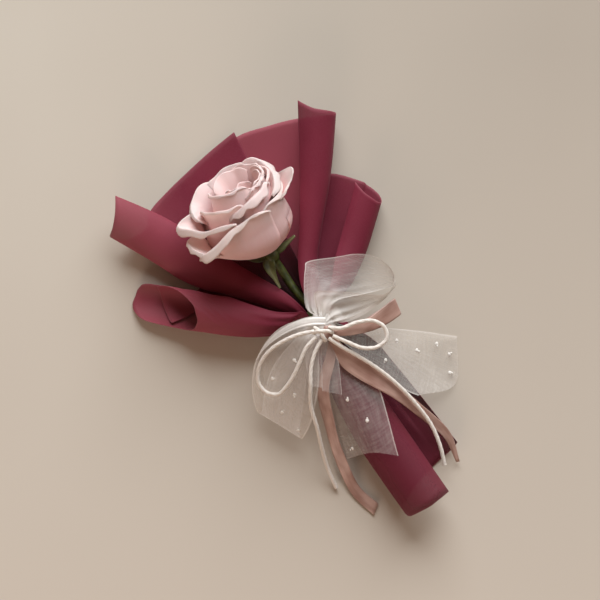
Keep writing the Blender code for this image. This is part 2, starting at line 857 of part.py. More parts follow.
ORGANZA_LEFT_LOOP = (
    [
        (-1.0, 0.0, 30.6),
        (-13.9, 6.6, 31.6),
        (-27.3, 6.8, 30.0),
        (-41.2, 0.6, 25.0),
        (-51.0, -9.4, 19.0),
        (-56.3, -20.5, 13.5),
        (-55.4, -25.0, 10.0),
        (-48.0, -17.0, 9.6),
        (-36.0, -8.0, 12.5),
        (-23.0, -3.6, 18.5),
        (-12.0, -2.2, 24.6),
        (-3.0, -2.0, 28.6),
    ],
    [
        (-5.0, -9.0, 30.6),
        (-12.0, -18.0, 31.0),
        (-20.2, -29.6, 29.6),
        (-28.6, -38.4, 25.4),
        (-36.9, -45.4, 19.0),
        (-44.6, -49.3, 13.0),
        (-45.4, -47.0, 9.4),
        (-39.6, -40.0, 8.8),
        (-31.0, -31.0, 11.0),
        (-22.0, -21.0, 16.6),
        (-13.0, -12.4, 23.6),
        (-4.6, -7.0, 28.6),
    ],
)
ORGANZA_FRONT_TAIL = (
    [
        (-4.0, -8.0, 29.4),
        (-13.0, -19.0, 27.0),
        (-21.5, -36.0, 21.4),
        (-29.0, -54.2, 11.2),
        (-32.2, -72.5, 7.2),
    ],
    [
        (-0.6, -8.6, 29.4),
        (-6.0, -20.5, 28.4),
        (-9.5, -36.0, 26.8),
        (-12.0, -52.0, 26.2),
        (-18.4, -77.6, 23.0),
    ],
    [(3.0, -9.0, 29.4), (1.6, -22.0, 28.6), (3.6, -36.0, 26.8), (6.4, -48.0, 26.0), (-7.2, -87.4, 26.4)],
)
ORGANZA_FRONT_TUCK = (
    [(-7.0, -4.6, 30.6), (-12.6, -8.4, 32.0), (-19.0, -16.5, 32.0), (-25.6, -27.8, 30.6)],
    [(-2.0, -8.6, 31.0), (-4.6, -16.8, 33.0), (-6.6, -27.0, 33.0), (-12.6, -40.0, 31.6)],
)
ORGANZA_RIGHT_TAIL = (
    [
        (3.0, -3.0, 29.0),
        (9.0, -11.0, 27.0),
        (17.5, -19.6, 21.6),
        (27.5, -26.0, 15.0),
        (41.9, -38.0, 6.4),
        (56.9, -52.0, 1.6),
    ],
    [
        (2.0, -5.6, 29.0),
        (7.0, -14.4, 26.8),
        (15.0, -26.6, 22.2),
        (24.5, -39.0, 14.8),
        (33.0, -56.0, 5.8),
        (41.0, -73.0, 1.2),
    ],
    [
        (1.0, -8.4, 29.0),
        (4.0, -20.0, 27.0),
        (8.0, -34.0, 25.2),
        (12.4, -48.0, 21.2),
        (16.6, -60.0, 15.0),
        (20.6, -66.5, 12.0),
    ],
)
ORGANZA_RUNS = {
    "upper_loop": (ORGANZA_UPPER_LOOP, 24, 3),
    "left_loop": (ORGANZA_LEFT_LOOP, 20, 3),
    "front_tail": (ORGANZA_FRONT_TAIL, 9, 4),
    "front_tuck": (ORGANZA_FRONT_TUCK, 6, 3),
    "right_tail": (ORGANZA_RIGHT_TAIL, 10, 4),
}
SATIN_LOOP = (
    [
        (1.0, -7.0, 34.0),
        (10.0, -12.4, 33.6),
        (21.3, -15.8, 32.0),
        (32.0, -15.6, 29.6),
        (39.8, -15.2, 27.2),
        (39.6, -16.0, 25.0),
        (29.0, -15.6, 25.4),
        (16.0, -14.6, 28.0),
        (4.0, -9.6, 33.4),
    ],
    [
        (-1.0, -12.0, 34.0),
        (10.0, -18.6, 33.0),
        (21.0, -23.0, 30.4),
        (30.0, -24.6, 27.8),
        (37.9, -24.6, 25.6),
        (37.6, -23.6, 23.4),
        (27.0, -23.0, 23.6),
        (14.0, -19.0, 26.6),
        (1.0, -12.0, 33.4),
    ],
)
SATIN_RIGHT_TAIL = (
    [
        (-1.6, -10.0, 34.0),
        (-3.2, -19.0, 31.8),
        (-4.6, -28.7, 30.5),
        (-1.0, -40.0, 28.8),
        (5.4, -52.7, 27.4),
        (10.0, -63.0, 22.4),
        (15.5, -80.5, 13.0),
        (19.0, -94.0, 9.6),
        (16.8, -108.4, 3.4),
    ],
    [
        (2.0, -9.4, 34.0),
        (2.6, -19.7, 32.2),
        (7.0, -31.0, 29.6),
        (11.5, -43.0, 26.6),
        (15.4, -57.0, 21.8),
        (19.0, -70.1, 16.6),
        (23.6, -92.4, 10.0),
        (18.6, -109.4, 3.2),
    ],
)
SATIN_LEFT_TAIL = (
    [
        (0.0, -10.6, 33.4),
        (-3.0, -14.4, 31.0),
        (-8.6, -19.4, 29.2),
        (-14.6, -24.2, 28.0),
        (-20.2, -29.6, 26.4),
        (-25.4, -36.0, 22.8),
        (-30.4, -49.0, 15.6),
        (-34.6, -61.0, 10.8),
        (-38.2, -74.0, 5.0),
        (-40.4, -91.0, 1.2),
        (-37.0, -106.4, 1.0),
    ],
    [
        (2.6, -13.0, 33.4),
        (0.4, -18.0, 31.2),
        (-5.0, -24.0, 29.8),
        (-10.4, -28.8, 28.8),
        (-15.6, -33.4, 27.4),
        (-19.8, -39.4, 25.4),
        (-24.4, -50.0, 20.5),
        (-28.8, -61.0, 14.6),
        (-31.8, -73.0, 9.2),
        (-34.4, -88.5, 1.6),
        (-31.3, -102.7, 1.0),
    ],
)
SATIN_RUNS = {
    "loop": (SATIN_LOOP, 16, 2),
    "right_tail": (SATIN_RIGHT_TAIL, 12, 2),
    "left_tail": (SATIN_LEFT_TAIL, 12, 2),
}

# The cord bow. Each route starts beside its knot.
CORD_RIGHT_LOOP = [
    (1.6, -7.4, 37.6),
    (6.4, -11.4, 38.0),
    (17.0, -14.6, 37.6),
    (24.3, -19.0, 36.0),
    (27.0, -25.5, 34.6),
    (24.6, -30.8, 34.0),
    (18.4, -31.8, 34.4),
    (11.2, -28.0, 35.6),
    (5.6, -20.0, 37.0),
    (1.0, -12.6, 37.6),
]
CORD_LEFT_LOOP = [
    (-5.8, -4.8, 37.1),
    (-14.1, -1.3, 36.6),
    (-24.0, 0.6, 34.6),
    (-34.0, 0.2, 31.0),
    (-43.0, -4.4, 26.4),
    (-47.4, -11.0, 23.6),
    (-46.6, -17.4, 23.2),
    (-42.4, -21.6, 24.8),
    (-35.0, -20.6, 28.6),
    (-28.4, -17.8, 31.6),
    (-21.0, -13.4, 34.4),
    (-14.0, -9.4, 36.4),
    (-6.6, -7.9, 37.0),
]
CORD_LEFT_TAIL = [
    (-5.0, -10.9, 36.8),
    (-11.4, -14.0, 36.2),
    (-18.6, -20.0, 35.0),
    (-24.6, -28.0, 33.4),
    (-30.8, -37.0, 28.0),
    (-35.0, -49.0, 22.0),
    (-39.4, -60.0, 14.0),
    (-42.8, -70.0, 7.0),
    (-45.3, -82.4, 1.8),
]
CORD_RIGHT_TAIL = [
    (-1.6, -12.4, 37.0),
    (1.0, -19.0, 36.0),
    (5.2, -28.0, 33.4),
    (9.2, -37.0, 31.0),
    (12.4, -46.0, 28.4),
    (15.4, -58.0, 24.6),
    (17.0, -70.0, 20.0),
    (17.2, -85.0, 14.6),
    (14.4, -97.0, 12.0),
    (10.7, -106.2, 9.6),
]
CORD_ROUTES = {
    "cord_right_loop": (CORD_RIGHT_LOOP, 22),
    "cord_left_loop": (CORD_LEFT_LOOP, 28),
    "cord_left_tail": (CORD_LEFT_TAIL, 20),
    "cord_right_tail": (CORD_RIGHT_TAIL, 22),
}


def ribbon(name, lines, length_steps, width_steps, thickness, home, finish):
    """One run of ribbon through its edges, and its middle where it arches."""
    steps = np.linspace(0.0, 1.0, length_steps + 1)
    sides = [smooth_at(np.linspace(0.0, 1.0, len(line)), np.array(line), steps) for line in lines]
    places = smooth_at(np.linspace(0.0, 1.0, len(lines)), sides, np.linspace(0.0, 1.0, width_steps + 1))
    return sheet(name, places, thickness, home, finish)


def pad(name, centre, radii, home, finish):
    """A rounded lump, as a pulled knot makes."""
    shape = bmesh.new()
    bmesh.ops.create_uvsphere(shape, u_segments=14, v_segments=8, radius=MM)
    for vertex in shape.verts:
        local = vertex.co / MM
        vertex.co = world([middle + part * size for middle, part, size in zip(centre, local, radii)])
    mesh = bpy.data.meshes.new(name)
    shape.to_mesh(mesh)
    shape.free()
    return add_object(name, mesh, home, finish)


ORGANZA_KNOT = ((-0.6, -4.6, 29.9), (8.6, 7.4, 3.0))
ORGANZA_BAND = (12.1, 100.0, 440.0, -7.2, -0.4)
SATIN_KNOT = ((0.0, -9.0, 34.2), (5.4, 5.0, 1.0))
CORD_KNOT = ((-2.6, -7.4, 37.2), (3.2, 3.4, 1.7))


def band(name, radius, start, stop, near, far, thickness, home, finish):
    """A strip round the neck whose ends meet inside the knot."""
    angles = np.linspace(start, stop, 23)
    places = [[neck_point(radius, angle, along) for along in np.linspace(near, far, 3)] for angle in angles]
    return sheet(name, np.array(places), thickness, home, finish)


def organza_ribbon(home, finish):
    pieces = collection("organza_pieces")
    for name, (edges, length_steps, width_steps) in ORGANZA_RUNS.items():
        ribbon(name, edges, length_steps, width_steps, ORGANZA, pieces, finish)
    band("band", *ORGANZA_BAND, ORGANZA, pieces, finish)
    return join_all(pad("organza_ribbon", *ORGANZA_KNOT, home, finish), pieces)


def satin_ribbon(home, finish):
    pieces = collection("satin_pieces")
    for name, (edges, length_steps, width_steps) in SATIN_RUNS.items():
        ribbon(name, edges, length_steps, width_steps, SATIN, pieces, finish)
    return join_all(pad("satin_ribbon", *SATIN_KNOT, home, finish), pieces)


def cord_bow(home, finish):
    pad("cord_knot", *CORD_KNOT, home, finish)
    for name, (route, count) in CORD_ROUTES.items():
        tube(name, smooth_route(route, count), CORD, home, finish)


def neck_tape(home, finish):
    """The tape wound round the stem where the paper is gathered."""
    profile = [
        (TAPE_INNER, -TAPE_HALF),
        (TAPE_OUTER, -TAPE_HALF),
        (TAPE_OUTER, TAPE_HALF),
        (TAPE_INNER, TAPE_HALF),
    ]
    right, ahead = np.array([1.0, 0.0, 0.0]), np.array([0.0, 1.0, 0.0])
    centre = (0.0, 0.0, NECK_HEIGHT)
    return turned("neck_tape", profile, centre, right, ahead, TAPE_SIDES, home, finish)


def burgundy_paper():
    return material("paper_burgundy", (0.27, 0.06, 0.09), 0.65)


def blush_petal():
    return material("petal_blush", (0.83, 0.62, 0.6), 0.6)


def stem_green():
    return material("stem_green", (0.07, 0.1, 0.025), 0.6)


def tape_green():
    return material("tape_green", (0.16, 0.2, 0.08), 0.8)


def white_organza():
    return material("organza_white", (0.8, 0.76, 0.74), 0.5)


def rose_satin():
    return material("satin_rose", (0.42, 0.24, 0.21), 0.4)


def white_cord():
    return material("cord_white", (0.82, 0.76, 0.7), 0.8)


def build():
    clear_scene()
    home = collection("rose_bouquet")
    paper = burgundy_paper()
    paper_inner_sheet(home, paper)
    paper_liner(home, paper)
    paper_outer_sheet(home, paper)
    rose_bloom(home, blush_petal())
    rose_stem(home, stem_green())
    neck_tape(home, tape_green())
    organza_ribbon(home, white_organza())
    satin_ribbon(home, rose_satin())
    cord_bow(home, white_cord())


build()
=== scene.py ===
"""Looks for the single rose bouquet: finer paper, petals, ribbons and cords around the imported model."""

import math

import bmesh
import bpy
import numpy as np
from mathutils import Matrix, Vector

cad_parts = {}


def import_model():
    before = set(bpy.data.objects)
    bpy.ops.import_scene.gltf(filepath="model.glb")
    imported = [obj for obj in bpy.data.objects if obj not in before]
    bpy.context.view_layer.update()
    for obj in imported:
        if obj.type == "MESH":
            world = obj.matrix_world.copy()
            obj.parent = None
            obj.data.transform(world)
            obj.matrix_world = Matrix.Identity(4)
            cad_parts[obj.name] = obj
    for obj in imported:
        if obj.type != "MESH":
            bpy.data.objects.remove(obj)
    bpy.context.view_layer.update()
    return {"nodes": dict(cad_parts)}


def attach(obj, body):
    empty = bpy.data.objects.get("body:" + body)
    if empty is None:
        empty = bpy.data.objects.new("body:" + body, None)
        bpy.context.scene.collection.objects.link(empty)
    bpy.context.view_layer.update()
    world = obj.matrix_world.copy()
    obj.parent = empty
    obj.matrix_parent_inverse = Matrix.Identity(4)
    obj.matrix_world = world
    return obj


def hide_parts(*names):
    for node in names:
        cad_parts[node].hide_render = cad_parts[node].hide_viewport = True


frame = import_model()

# Lengths are in millimetres from the tie, as in the part: +Y towards the bloom, +X to its right, +Z up.
# The flat sizes of sheets and what stands outside the bouquet, such as lights, are in metres.
MM = 0.001
CM = 10.0
SHIFT = (3.9, 0.6, 0.0)

# How thick each thin piece is.
PAPER = 0.25
PETAL = 0.24
SEPAL = 0.6
SATIN = 0.22
CORD = 2.3


def world(points):
    """Points in millimetres from the tie, as metres in the frame."""
    return (np.asarray(points, float) + SHIFT) * MM


def put(item):
    """Adds an object to the scene."""
    bpy.context.scene.collection.objects.link(item)
    return item


# Camera: it looks straight down, with the bouquet turned in the picture.
VIEW_TURN = 35.0
VIEW_WIDTH = 330.0
VIEW_ASIDE = 9.9
CAMERA_HEIGHT = 1.0


def make_camera():
    """The camera. Returns the directions of the picture's right and up, and the way to the camera."""
    turned = math.radians(VIEW_TURN)
    up = Vector((math.sin(turned), math.cos(turned), 0.0))
    right = Vector((math.cos(turned), -math.sin(turned), 0.0))
    above = Vector((0.0, 0.0, 1.0))
    data = bpy.data.cameras.new("camera")
    data.type = "ORTHO"
    data.ortho_scale = VIEW_WIDTH * MM
    camera = put(bpy.data.objects.new("camera", data))
    camera.rotation_euler.z = -turned
    middle = Vector(world((0.0, 0.0, 0.0))) + (up - right) * VIEW_ASIDE * MM
    camera.location = middle + above * CAMERA_HEIGHT
    bpy.context.scene.camera = camera
    return right, up, above


# Curves and grids of points
ROUTE_DETAIL = 12


def even(steps):
    """Shares from 0 to 1 in so many even steps."""
    return np.linspace(0.0, 1.0, steps + 1)


def ramp(value, start, end):
    """How far value is on its way from start to end, as a share from 0 to 1."""
    return np.clip((value - start) / (end - start), 0.0, 1.0)


def smooth_at(stations, values, where):
    """The smooth curve through values at stations, read at where."""
    stations = np.asarray(stations, float)
    values = np.asarray(values, float)
    slopes = np.gradient(values, stations, axis=0)
    where = np.atleast_1d(np.asarray(where, float))
    found = np.clip(np.searchsorted(stations, where, side="right") - 1, 0, len(stations) - 2)
    step = stations[found + 1] - stations[found]
    part = (where - stations[found]) / step
    inside = np.clip(part, 0.0, 1.0)
    shape = (slice(None),) + (None,) * (values.ndim - 1)
    t, h = inside[shape], step[shape]
    start, end = values[found], values[found + 1]
    result = (
        (2 * t**3 - 3 * t**2 + 1) * start
        + (t**3 - 2 * t**2 + t) * h * slopes[found]
        + (3 * t**2 - 2 * t**3) * end
        + (t**3 - t**2) * h * slopes[found + 1]
    )
    beyond = np.where(part < 0, part, np.where(part > 1, part - 1, 0.0))[shape]
    return result + beyond * h * np.where(beyond < 0, slopes[found], slopes[found + 1])


def run_along(points):
    """The distance of each point of a route from its first."""
    return np.concatenate([[0.0], np.cumsum(np.linalg.norm(np.diff(points, axis=0), axis=1))])


def smooth_route(points, count):
    """count points at even steps along the smooth curve through points."""
    points = np.asarray(points, float)
    stations = run_along(points)
    fine = smooth_at(stations, points, np.linspace(0, stations[-1], ROUTE_DETAIL * len(points)))
    run = run_along(fine)
    wanted = np.linspace(0, run[-1], count)
    return np.stack([np.interp(wanted, run, fine[:, axis]) for axis in range(3)], axis=1)


def refine(places, columns, rows):
    """The smooth surface through places[column][row], read at finer even steps."""
    places = np.asarray(places, float)
    places = smooth_at(np.arange(len(places)), places, np.linspace(0, len(places) - 1, columns + 1))
    turned = places.swapaxes(0, 1)
    turned = smooth_at(np.arange(len(turned)), turned, np.linspace(0, len(turned) - 1, rows + 1))
    return turned.swapaxes(0, 1)


def normals_of(places):
    """The surface's direction at each point of a grid."""
    across, along = np.gradient(places, axis=0), np.gradient(places, axis=1)
    normal = np.cross(across, along)
    return normal / np.maximum(np.linalg.norm(normal, axis=2, keepdims=True), 1e-9)


def arc_lengths(places, axis):
    """The distance of each point from the grid's first line, along one way of the grid."""
    steps = np.linalg.norm(np.diff(places, axis=axis), axis=2)
    shape = list(steps.shape)
    shape[axis] = 1
    return np.concatenate([np.zeros(shape), np.cumsum(steps, axis=axis)], axis=axis)


def gathered(places, count, drift, lift):
    """places with count waves across that lift it off its surface. The waves drift a little, as
    (how far, turns), so that they aren't even."""
    share = across_share(places)
    shift, turns = drift
    wave = np.sin(2 * np.pi * count * share + shift * np.sin(turns * share))
    return places + normals_of(places) * (wave * lift)[..., None]


def across_share(places):
    """The share of the way across a grid, as a column."""
    return even(len(places) - 1)[:, None]


def spokes(turn, first, second):
    """Directions at the angles turn, from first towards second."""
    return np.cos(turn)[..., None] * first + np.sin(turn)[..., None] * second


def ball_angles(turns, tilts):
    """The angle round a ball and the angle down from its top, as two grids."""
    return np.meshgrid(2 * math.pi * even(turns), math.pi * even(tilts), indexing="ij")


def grid_uv(places):
    """UVs in centimetres across and along the surface."""
    across = arc_lengths(places, 0)
    along = arc_lengths(places, 1)
    middle = across[:, across.shape[1] // 2][:, None] * np.ones_like(across)
    return np.stack([middle, along], axis=-1) / CM


def share_uv(places):
    """UVs as shares across and along the surface."""
    columns, rows = places.shape[:2]
    return np.stack(np.meshgrid(even(columns - 1), even(rows - 1), indexing="ij"), axis=-1)


def add_piece(name, parts, finishes, thickness=0.0):
    """One piece out of grids: parts holds (places, uv, finish number) with places[column][row] in mm.

    A part may hold a second uv too, for what its finish changes over it."""
    verts, faces, uvs, extras, slots = [], [], [], [], []
    for places, uv, slot, *extra in parts:
        columns, rows = places.shape[:2]
        first = sum(len(part) for part in verts)
        verts.append(world(places.reshape(-1, 3)))
        index = first + np.arange(columns * rows).reshape(columns, rows)
        quads = np.stack([index[:-1, :-1], index[1:, :-1], index[1:, 1:], index[:-1, 1:]], axis=-1)
        faces.append(quads.reshape(-1, 4))
        uvs.append(uv.reshape(-1, 2))
        extras.append((extra[0] if extra else np.zeros_like(uv)).reshape(-1, 2))
        slots += [slot] * len(faces[-1])
    mesh = bpy.data.meshes.new(name)
    mesh.from_pydata(np.concatenate(verts).tolist(), [], np.concatenate(faces).tolist())
    for finish in finishes:
        mesh.materials.append(finish)
    mesh.polygons.foreach_set("material_index", slots)
    mesh.polygons.foreach_set("use_smooth", [True] * len(mesh.polygons))
    loops = np.empty(len(mesh.loops), np.int32)
    mesh.loops.foreach_get("vertex_index", loops)
    for layer_name, values in (("UVMap", uvs), ("Extra", extras)):
        layer = mesh.uv_layers.new(name=layer_name)
        layer.data.foreach_set("uv", np.concatenate(values)[loops].ravel())
    mesh.update()
    piece = put(bpy.data.objects.new(name, mesh))
    if thickness:
        shell = piece.modifiers.new("Thickness", "SOLIDIFY")
        shell.thickness = thickness * MM
        shell.offset = 0.0
    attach(piece, "root")
    return piece


# Shader nodes


def add(tree, kind, inputs=None, **settings):
    """A shader node. An input's value is either a socket to link or the value it holds."""
    made = tree.nodes.new("ShaderNode" + kind)
    for key, value in settings.items():
        setattr(made, key, value)
    for key, value in (inputs or {}).items():
        if isinstance(value, bpy.types.NodeSocket):
            tree.links.new(value, made.inputs[key])
        else:
            made.inputs[key].default_value = value
    return made


def start_material(name, **values):
    """A new material whose shader holds values, with _ for each blank in an input's name."""
    made = bpy.data.materials.new(name)
    made.use_nodes = True
    tree = made.node_tree
    for key, value in values.items():
        shader_input(tree, key.replace("_", " ")).default_value = value
    return made, tree


def shader_input(tree, key):
    """A socket of a material's own shader."""
    return tree.nodes["Principled BSDF"].inputs[key]


def finished(made, tone, height, strength, distance):
    """The material with its colour, and with fine relief of up to distance mm from height."""
    tree = made.node_tree
    inputs = {"Height": height, "Strength": strength, "Distance": distance * MM}
    relief = add(tree, "Bump", inputs).outputs["Normal"]
    tree.links.new(tone, shader_input(tree, "Base Color"))
    tree.links.new(relief, shader_input(tree, "Normal"))
    return made


def noise(tree, coordinate, scale, detail=3.0, roughness=0.5):
    inputs = {"Vector": coordinate, "Scale": scale, "Detail": detail, "Roughness": roughness}
    return add(tree, "TexNoise", inputs).outputs["Fac"]


def remap(tree, value, low, high, to_low=0.0, to_high=1.0):
    inputs = {"Value": value, "From Min": low, "From Max": high, "To Min": to_low, "To Max": to_high}
    return add(tree, "MapRange", inputs).outputs["Result"]


def blend(tree, factor, low, high):
    """The colour between low and high, each a socket or a colour."""
    made = add(tree, "Mix", data_type="RGBA")
    tree.links.new(factor, made.inputs["Factor"])
    for key, value in ((6, low), (7, high)):
        if isinstance(value, bpy.types.NodeSocket):
            tree.links.new(value, made.inputs[key])
        else:
            made.inputs[key].default_value = (*value, 1.0)
    return made.outputs[2]


def tinted(tree, tone, color, value, *ranges):
    """tone with color laid over it by value, from its own range to a range of shares."""
    return blend(tree, remap(tree, value, *ranges), tone, color)


def math_node(tree, operation, *values):
    made = add(tree, "Math", operation=operation)
    for socket, value in zip(made.inputs, values):
        if isinstance(value, bpy.types.NodeSocket):
            tree.links.new(value, socket)
        else:
            socket.default_value = value
    return made.outputs["Value"]


def times(tree, first, second):
    return math_node(tree, "MULTIPLY", first, second)


def plus(tree, first, second):
    return math_node(tree, "ADD", first, second)


def minus(tree, first, second):
    return math_node(tree, "SUBTRACT", first, second)


def coordinates(tree, kind):
    return add(tree, "TexCoord").outputs[kind]


def stretch(tree, vector, *scale):
    """A coordinate with each of its axes scaled."""
    return add(tree, "Mapping", {"Vector": vector, "Scale": scale}).outputs["Vector"]


def split(tree, vector):
    made = add(tree, "SeparateXYZ", {"Vector": vector})
    return made.outputs["X"], made.outputs["Y"]


def extra_uv(tree):
    """The two values that a piece keeps in its second uv."""
    return split(tree, add(tree, "UVMap", uv_map="Extra").outputs["UV"])


def threads(tree, uv, pitch):
    """The two heights of a plain weave with threads pitch mm apart, from UVs in centimetres."""
    turns = 2 * math.pi * CM / pitch
    waves = [math_node(tree, "SINE", times(tree, way, turns)) for way in split(tree, uv)]
    return [math_node(tree, "ABSOLUTE", wave) for wave in waves]


# Finishes
PAPER_DARK = (0.185, 0.014, 0.036)
PAPER_LIGHT = (0.21, 0.018, 0.044)
PAPER_FIBRE = (0.24, 0.04, 0.065)
# Painted shade over the handle, where the paper lies in many layers.
PAPER_PAINTED_SHADE = (0.11, 0.008, 0.02)
# Darkest painted shade, deep in the wrap behind the stem.
PAPER_DARKEST_PAINTED_SHADE = (0.03, 0.004, 0.005)
# Painted light where single paper lets light through.
PAPER_PAINTED_GLOW = (0.45, 0.105, 0.135)
# Painted light along the paper's cut ends.
PAPER_EDGE_PAINTED_LIGHT = (0.42, 0.16, 0.18)
PAPER_ALPHA = 0.8
PETAL_ROOT = (0.9, 0.45, 0.44)
PETAL_BODY = (0.91, 0.61, 0.595)
PETAL_HEART = (0.85, 0.6, 0.585)
PETAL_RIM = (0.74, 0.615, 0.58)
PETAL_VEIN = (0.93, 0.62, 0.6)
GREEN_DARK = (0.032, 0.042, 0.008)
GREEN_LIGHT = (0.1, 0.115, 0.022)
SEPAL_TIP = (0.31, 0.31, 0.17)
TAPE_LIGHT = (0.2, 0.25, 0.1)
ORGANZA_PITCH = 1.1
ORGANZA_TONE = (0.8, 0.755, 0.715)
ORGANZA_THREAD = (0.88, 0.845, 0.8)
# A grey tone for a copy of the white organza, as painted shade.
ORGANZA_PAINTED_SHADE_TONE = (0.54, 0.46, 0.46)
# The least and most cover that the weave gives, in the white organza and in its grey copy that paints it
# in shade.
ORGANZA_COVER = (0.2, 0.3)
ORGANZA_PAINTED_SHADE_COVER = (0.17, 0.23)
DOT_SHADE = (0.75, 0.72, 0.68)
DOT_WHITE = (0.92, 0.9, 0.86)
SATIN_PITCH = 0.5
# Painted shade and painted sheen, between which the satin's tone changes along it.
SATIN_PAINTED_SHADE = (0.32, 0.175, 0.14)
SATIN_PAINTED_SHEEN = (0.53, 0.35, 0.295)
# Painted shade in the grooves between the cord's yarns.
CORD_GROOVE_PAINTED_SHADE = (0.66, 0.6, 0.54)
CORD_WHITE = (0.86, 0.81, 0.75)


def paper_finish():
    """Burgundy wrapping paper: matt, finely fibred and a little see-through.

    Its second uv is from sheet_looks. From it the finish paints shade over the handle and, darkest, deep
    behind the stem, and paints light where single paper lets light through; it also paints light along the
    cut ends."""
    made, tree = start_material(
        "burgundy_paper",
        Roughness=0.66,
        Sheen_Weight=0.06,
        Sheen_Roughness=0.5,
        Sheen_Tint=(1.0, 0.6, 0.68, 1.0),
        Specular_IOR_Level=0.3,
        Alpha=PAPER_ALPHA,
    )
    place = coordinates(tree, "Object")
    fibres = noise(tree, place, 1500.0, detail=4.0, roughness=0.6)
    clouds = noise(tree, place, 60.0, detail=2.0)
    ends, lit = extra_uv(tree)
    tone = blend(tree, remap(tree, clouds, 0.3, 0.7), PAPER_DARK, PAPER_LIGHT)
    tone = tinted(tree, tone, PAPER_FIBRE, fibres, 0.35, 0.65, 0.0, 0.35)
    # Painted shade over the handle's many layers, fading out up the fan.
    tone = tinted(tree, tone, PAPER_PAINTED_SHADE, lit, 0.0, 1.0, 0.65, 0.0)
    # Darkest painted shade deep in the wrap, behind the stem.
    tone = tinted(tree, tone, PAPER_DARKEST_PAINTED_SHADE, lit, -1.0, 0.0, 0.85, 0.0)
    # Painted light where single paper lets light through, most on the left wing.
    tone = tinted(tree, tone, PAPER_PAINTED_GLOW, lit, 1.0, 2.0, 0.0, 0.5)
    # Painted light along the paper's cut ends.
    tone = tinted(tree, tone, PAPER_EDGE_PAINTED_LIGHT, ends, 0.03, 0.07, 0.3, 0.0)
    return finished(made, tone, fibres, 0.25, 0.06)


def petal_finish():
    """Blush petals, cream at the rim and deeper near the root, with fine veins.

    The second uv holds the petal's share of the way from the outermost petal to the heart."""
    made, tree = start_material(
        "blush_petal",
        Roughness=0.5,
        Sheen_Weight=0.1,
        Sheen_Roughness=0.4,
        Sheen_Tint=(1.0, 0.7, 0.66, 1.0),
        Subsurface_Weight=0.6,
        Subsurface_Scale=0.002,
        Subsurface_Radius=(1.0, 0.8, 0.75),
        Specular_Tint=(1.0, 0.72, 0.68, 1.0),
        Specular_IOR_Level=0.3,
    )
    uv = coordinates(tree, "UV")
    _, up = split(tree, uv)
    heart, _ = extra_uv(tree)
    veins = noise(tree, stretch(tree, uv, 46.0, 3.0, 1.0), 1.0)
    grain = noise(tree, coordinates(tree, "Object"), 900.0)
    tone = blend(tree, remap(tree, up, 0.3, 0.85), PETAL_ROOT, PETAL_BODY)
    tone = tinted(tree, tone, PETAL_RIM, up, 0.6, 0.92, 0.0, 0.9)
    tone = tinted(tree, tone, PETAL_HEART, heart, 0.3, 0.6, 0.0, 0.75)
    tone = tinted(tree, tone, PETAL_VEIN, veins, 0.45, 0.75, 0.0, 0.22)
    return finished(made, tone, plus(tree, veins, times(tree, grain, 0.4)), 0.3, 0.15)


def green_finish(name, tipped=False):
    """Dark green skin with long fibres. A sepal turns pale towards its tip."""
    made, tree = start_material(name, Roughness=0.5, Subsurface_Weight=0.1, Subsurface_Scale=0.001)
    place = coordinates(tree, "Object")
    mottle = noise(tree, place, 260.0)
    fibres = noise(tree, stretch(tree, place, 900.0, 120.0, 900.0), 1.0, detail=2.0)
    tone = blend(tree, remap(tree, mottle, 0.35, 0.7), GREEN_DARK, GREEN_LIGHT)
    if tipped:
        across, along = split(tree, coordinates(tree, "UV"))
        aside = math_node(tree, "ABSOLUTE", minus(tree, across, 0.5))
        middle = remap(tree, aside, 0.1, 0.4, 1.0, 0.35)
        pale = times(tree, middle, remap(tree, along, 0.25, 1.0, 0.0, 0.8))
        tone = blend(tree, pale, tone, SEPAL_TIP)
    return finished(made, tone, fibres, 0.35, 0.15)


def grained_finish(name, scale, detail, low, high, strength, distance, **values):
    """Two tones and relief from one fine grain: the tape's wrinkles and the dots' fluff."""
    made, tree = start_material(name, **values)
    grain = noise(tree, coordinates(tree, "Object"), scale, detail)
    return finished(made, blend(tree, grain, low, high), grain, strength, distance)


def organza_finish(name, low, high, tone):
    """Sheer white organza, denser where it is gathered and along its two woven edges.

    Its second uv is from organza_looks."""
    made, tree = start_material(name, Roughness=0.42, Sheen_Weight=0.3, Sheen_Roughness=0.3)
    uv = coordinates(tree, "UV")
    density, aside = extra_uv(tree)
    weave = math_node(tree, "MAXIMUM", *threads(tree, uv, ORGANZA_PITCH))
    streaks = noise(tree, stretch(tree, uv, 9.0, 0.8, 1.0), 1.0, detail=2.0)
    bars = noise(tree, stretch(tree, uv, 1.0, 7.0, 1.0), 1.0)
    cover = times(tree, plus(tree, streaks, bars), 0.5)
    woven = times(tree, remap(tree, cover, 0.3, 0.7, low, high), remap(tree, weave, 0.5, 1.0, 0.8, 1.15))
    edge = math_node(tree, "ABSOLUTE", minus(tree, times(tree, aside, 2.0), 1.0))
    selvage = remap(tree, edge, 0.94, 0.98, 0.0, 0.45)
    packed = math_node(tree, "MAXIMUM", times(tree, density, 0.85), selvage)
    clear = times(tree, minus(tree, 1.0, woven), minus(tree, 1.0, packed))
    tree.links.new(minus(tree, 1.0, clear), shader_input(tree, "Alpha"))
    thick = blend(tree, remap(tree, cover, 0.35, 0.65), tone, ORGANZA_THREAD)
    return finished(made, blend(tree, packed, thick, ORGANZA_THREAD), weave, 0.3, 0.06)


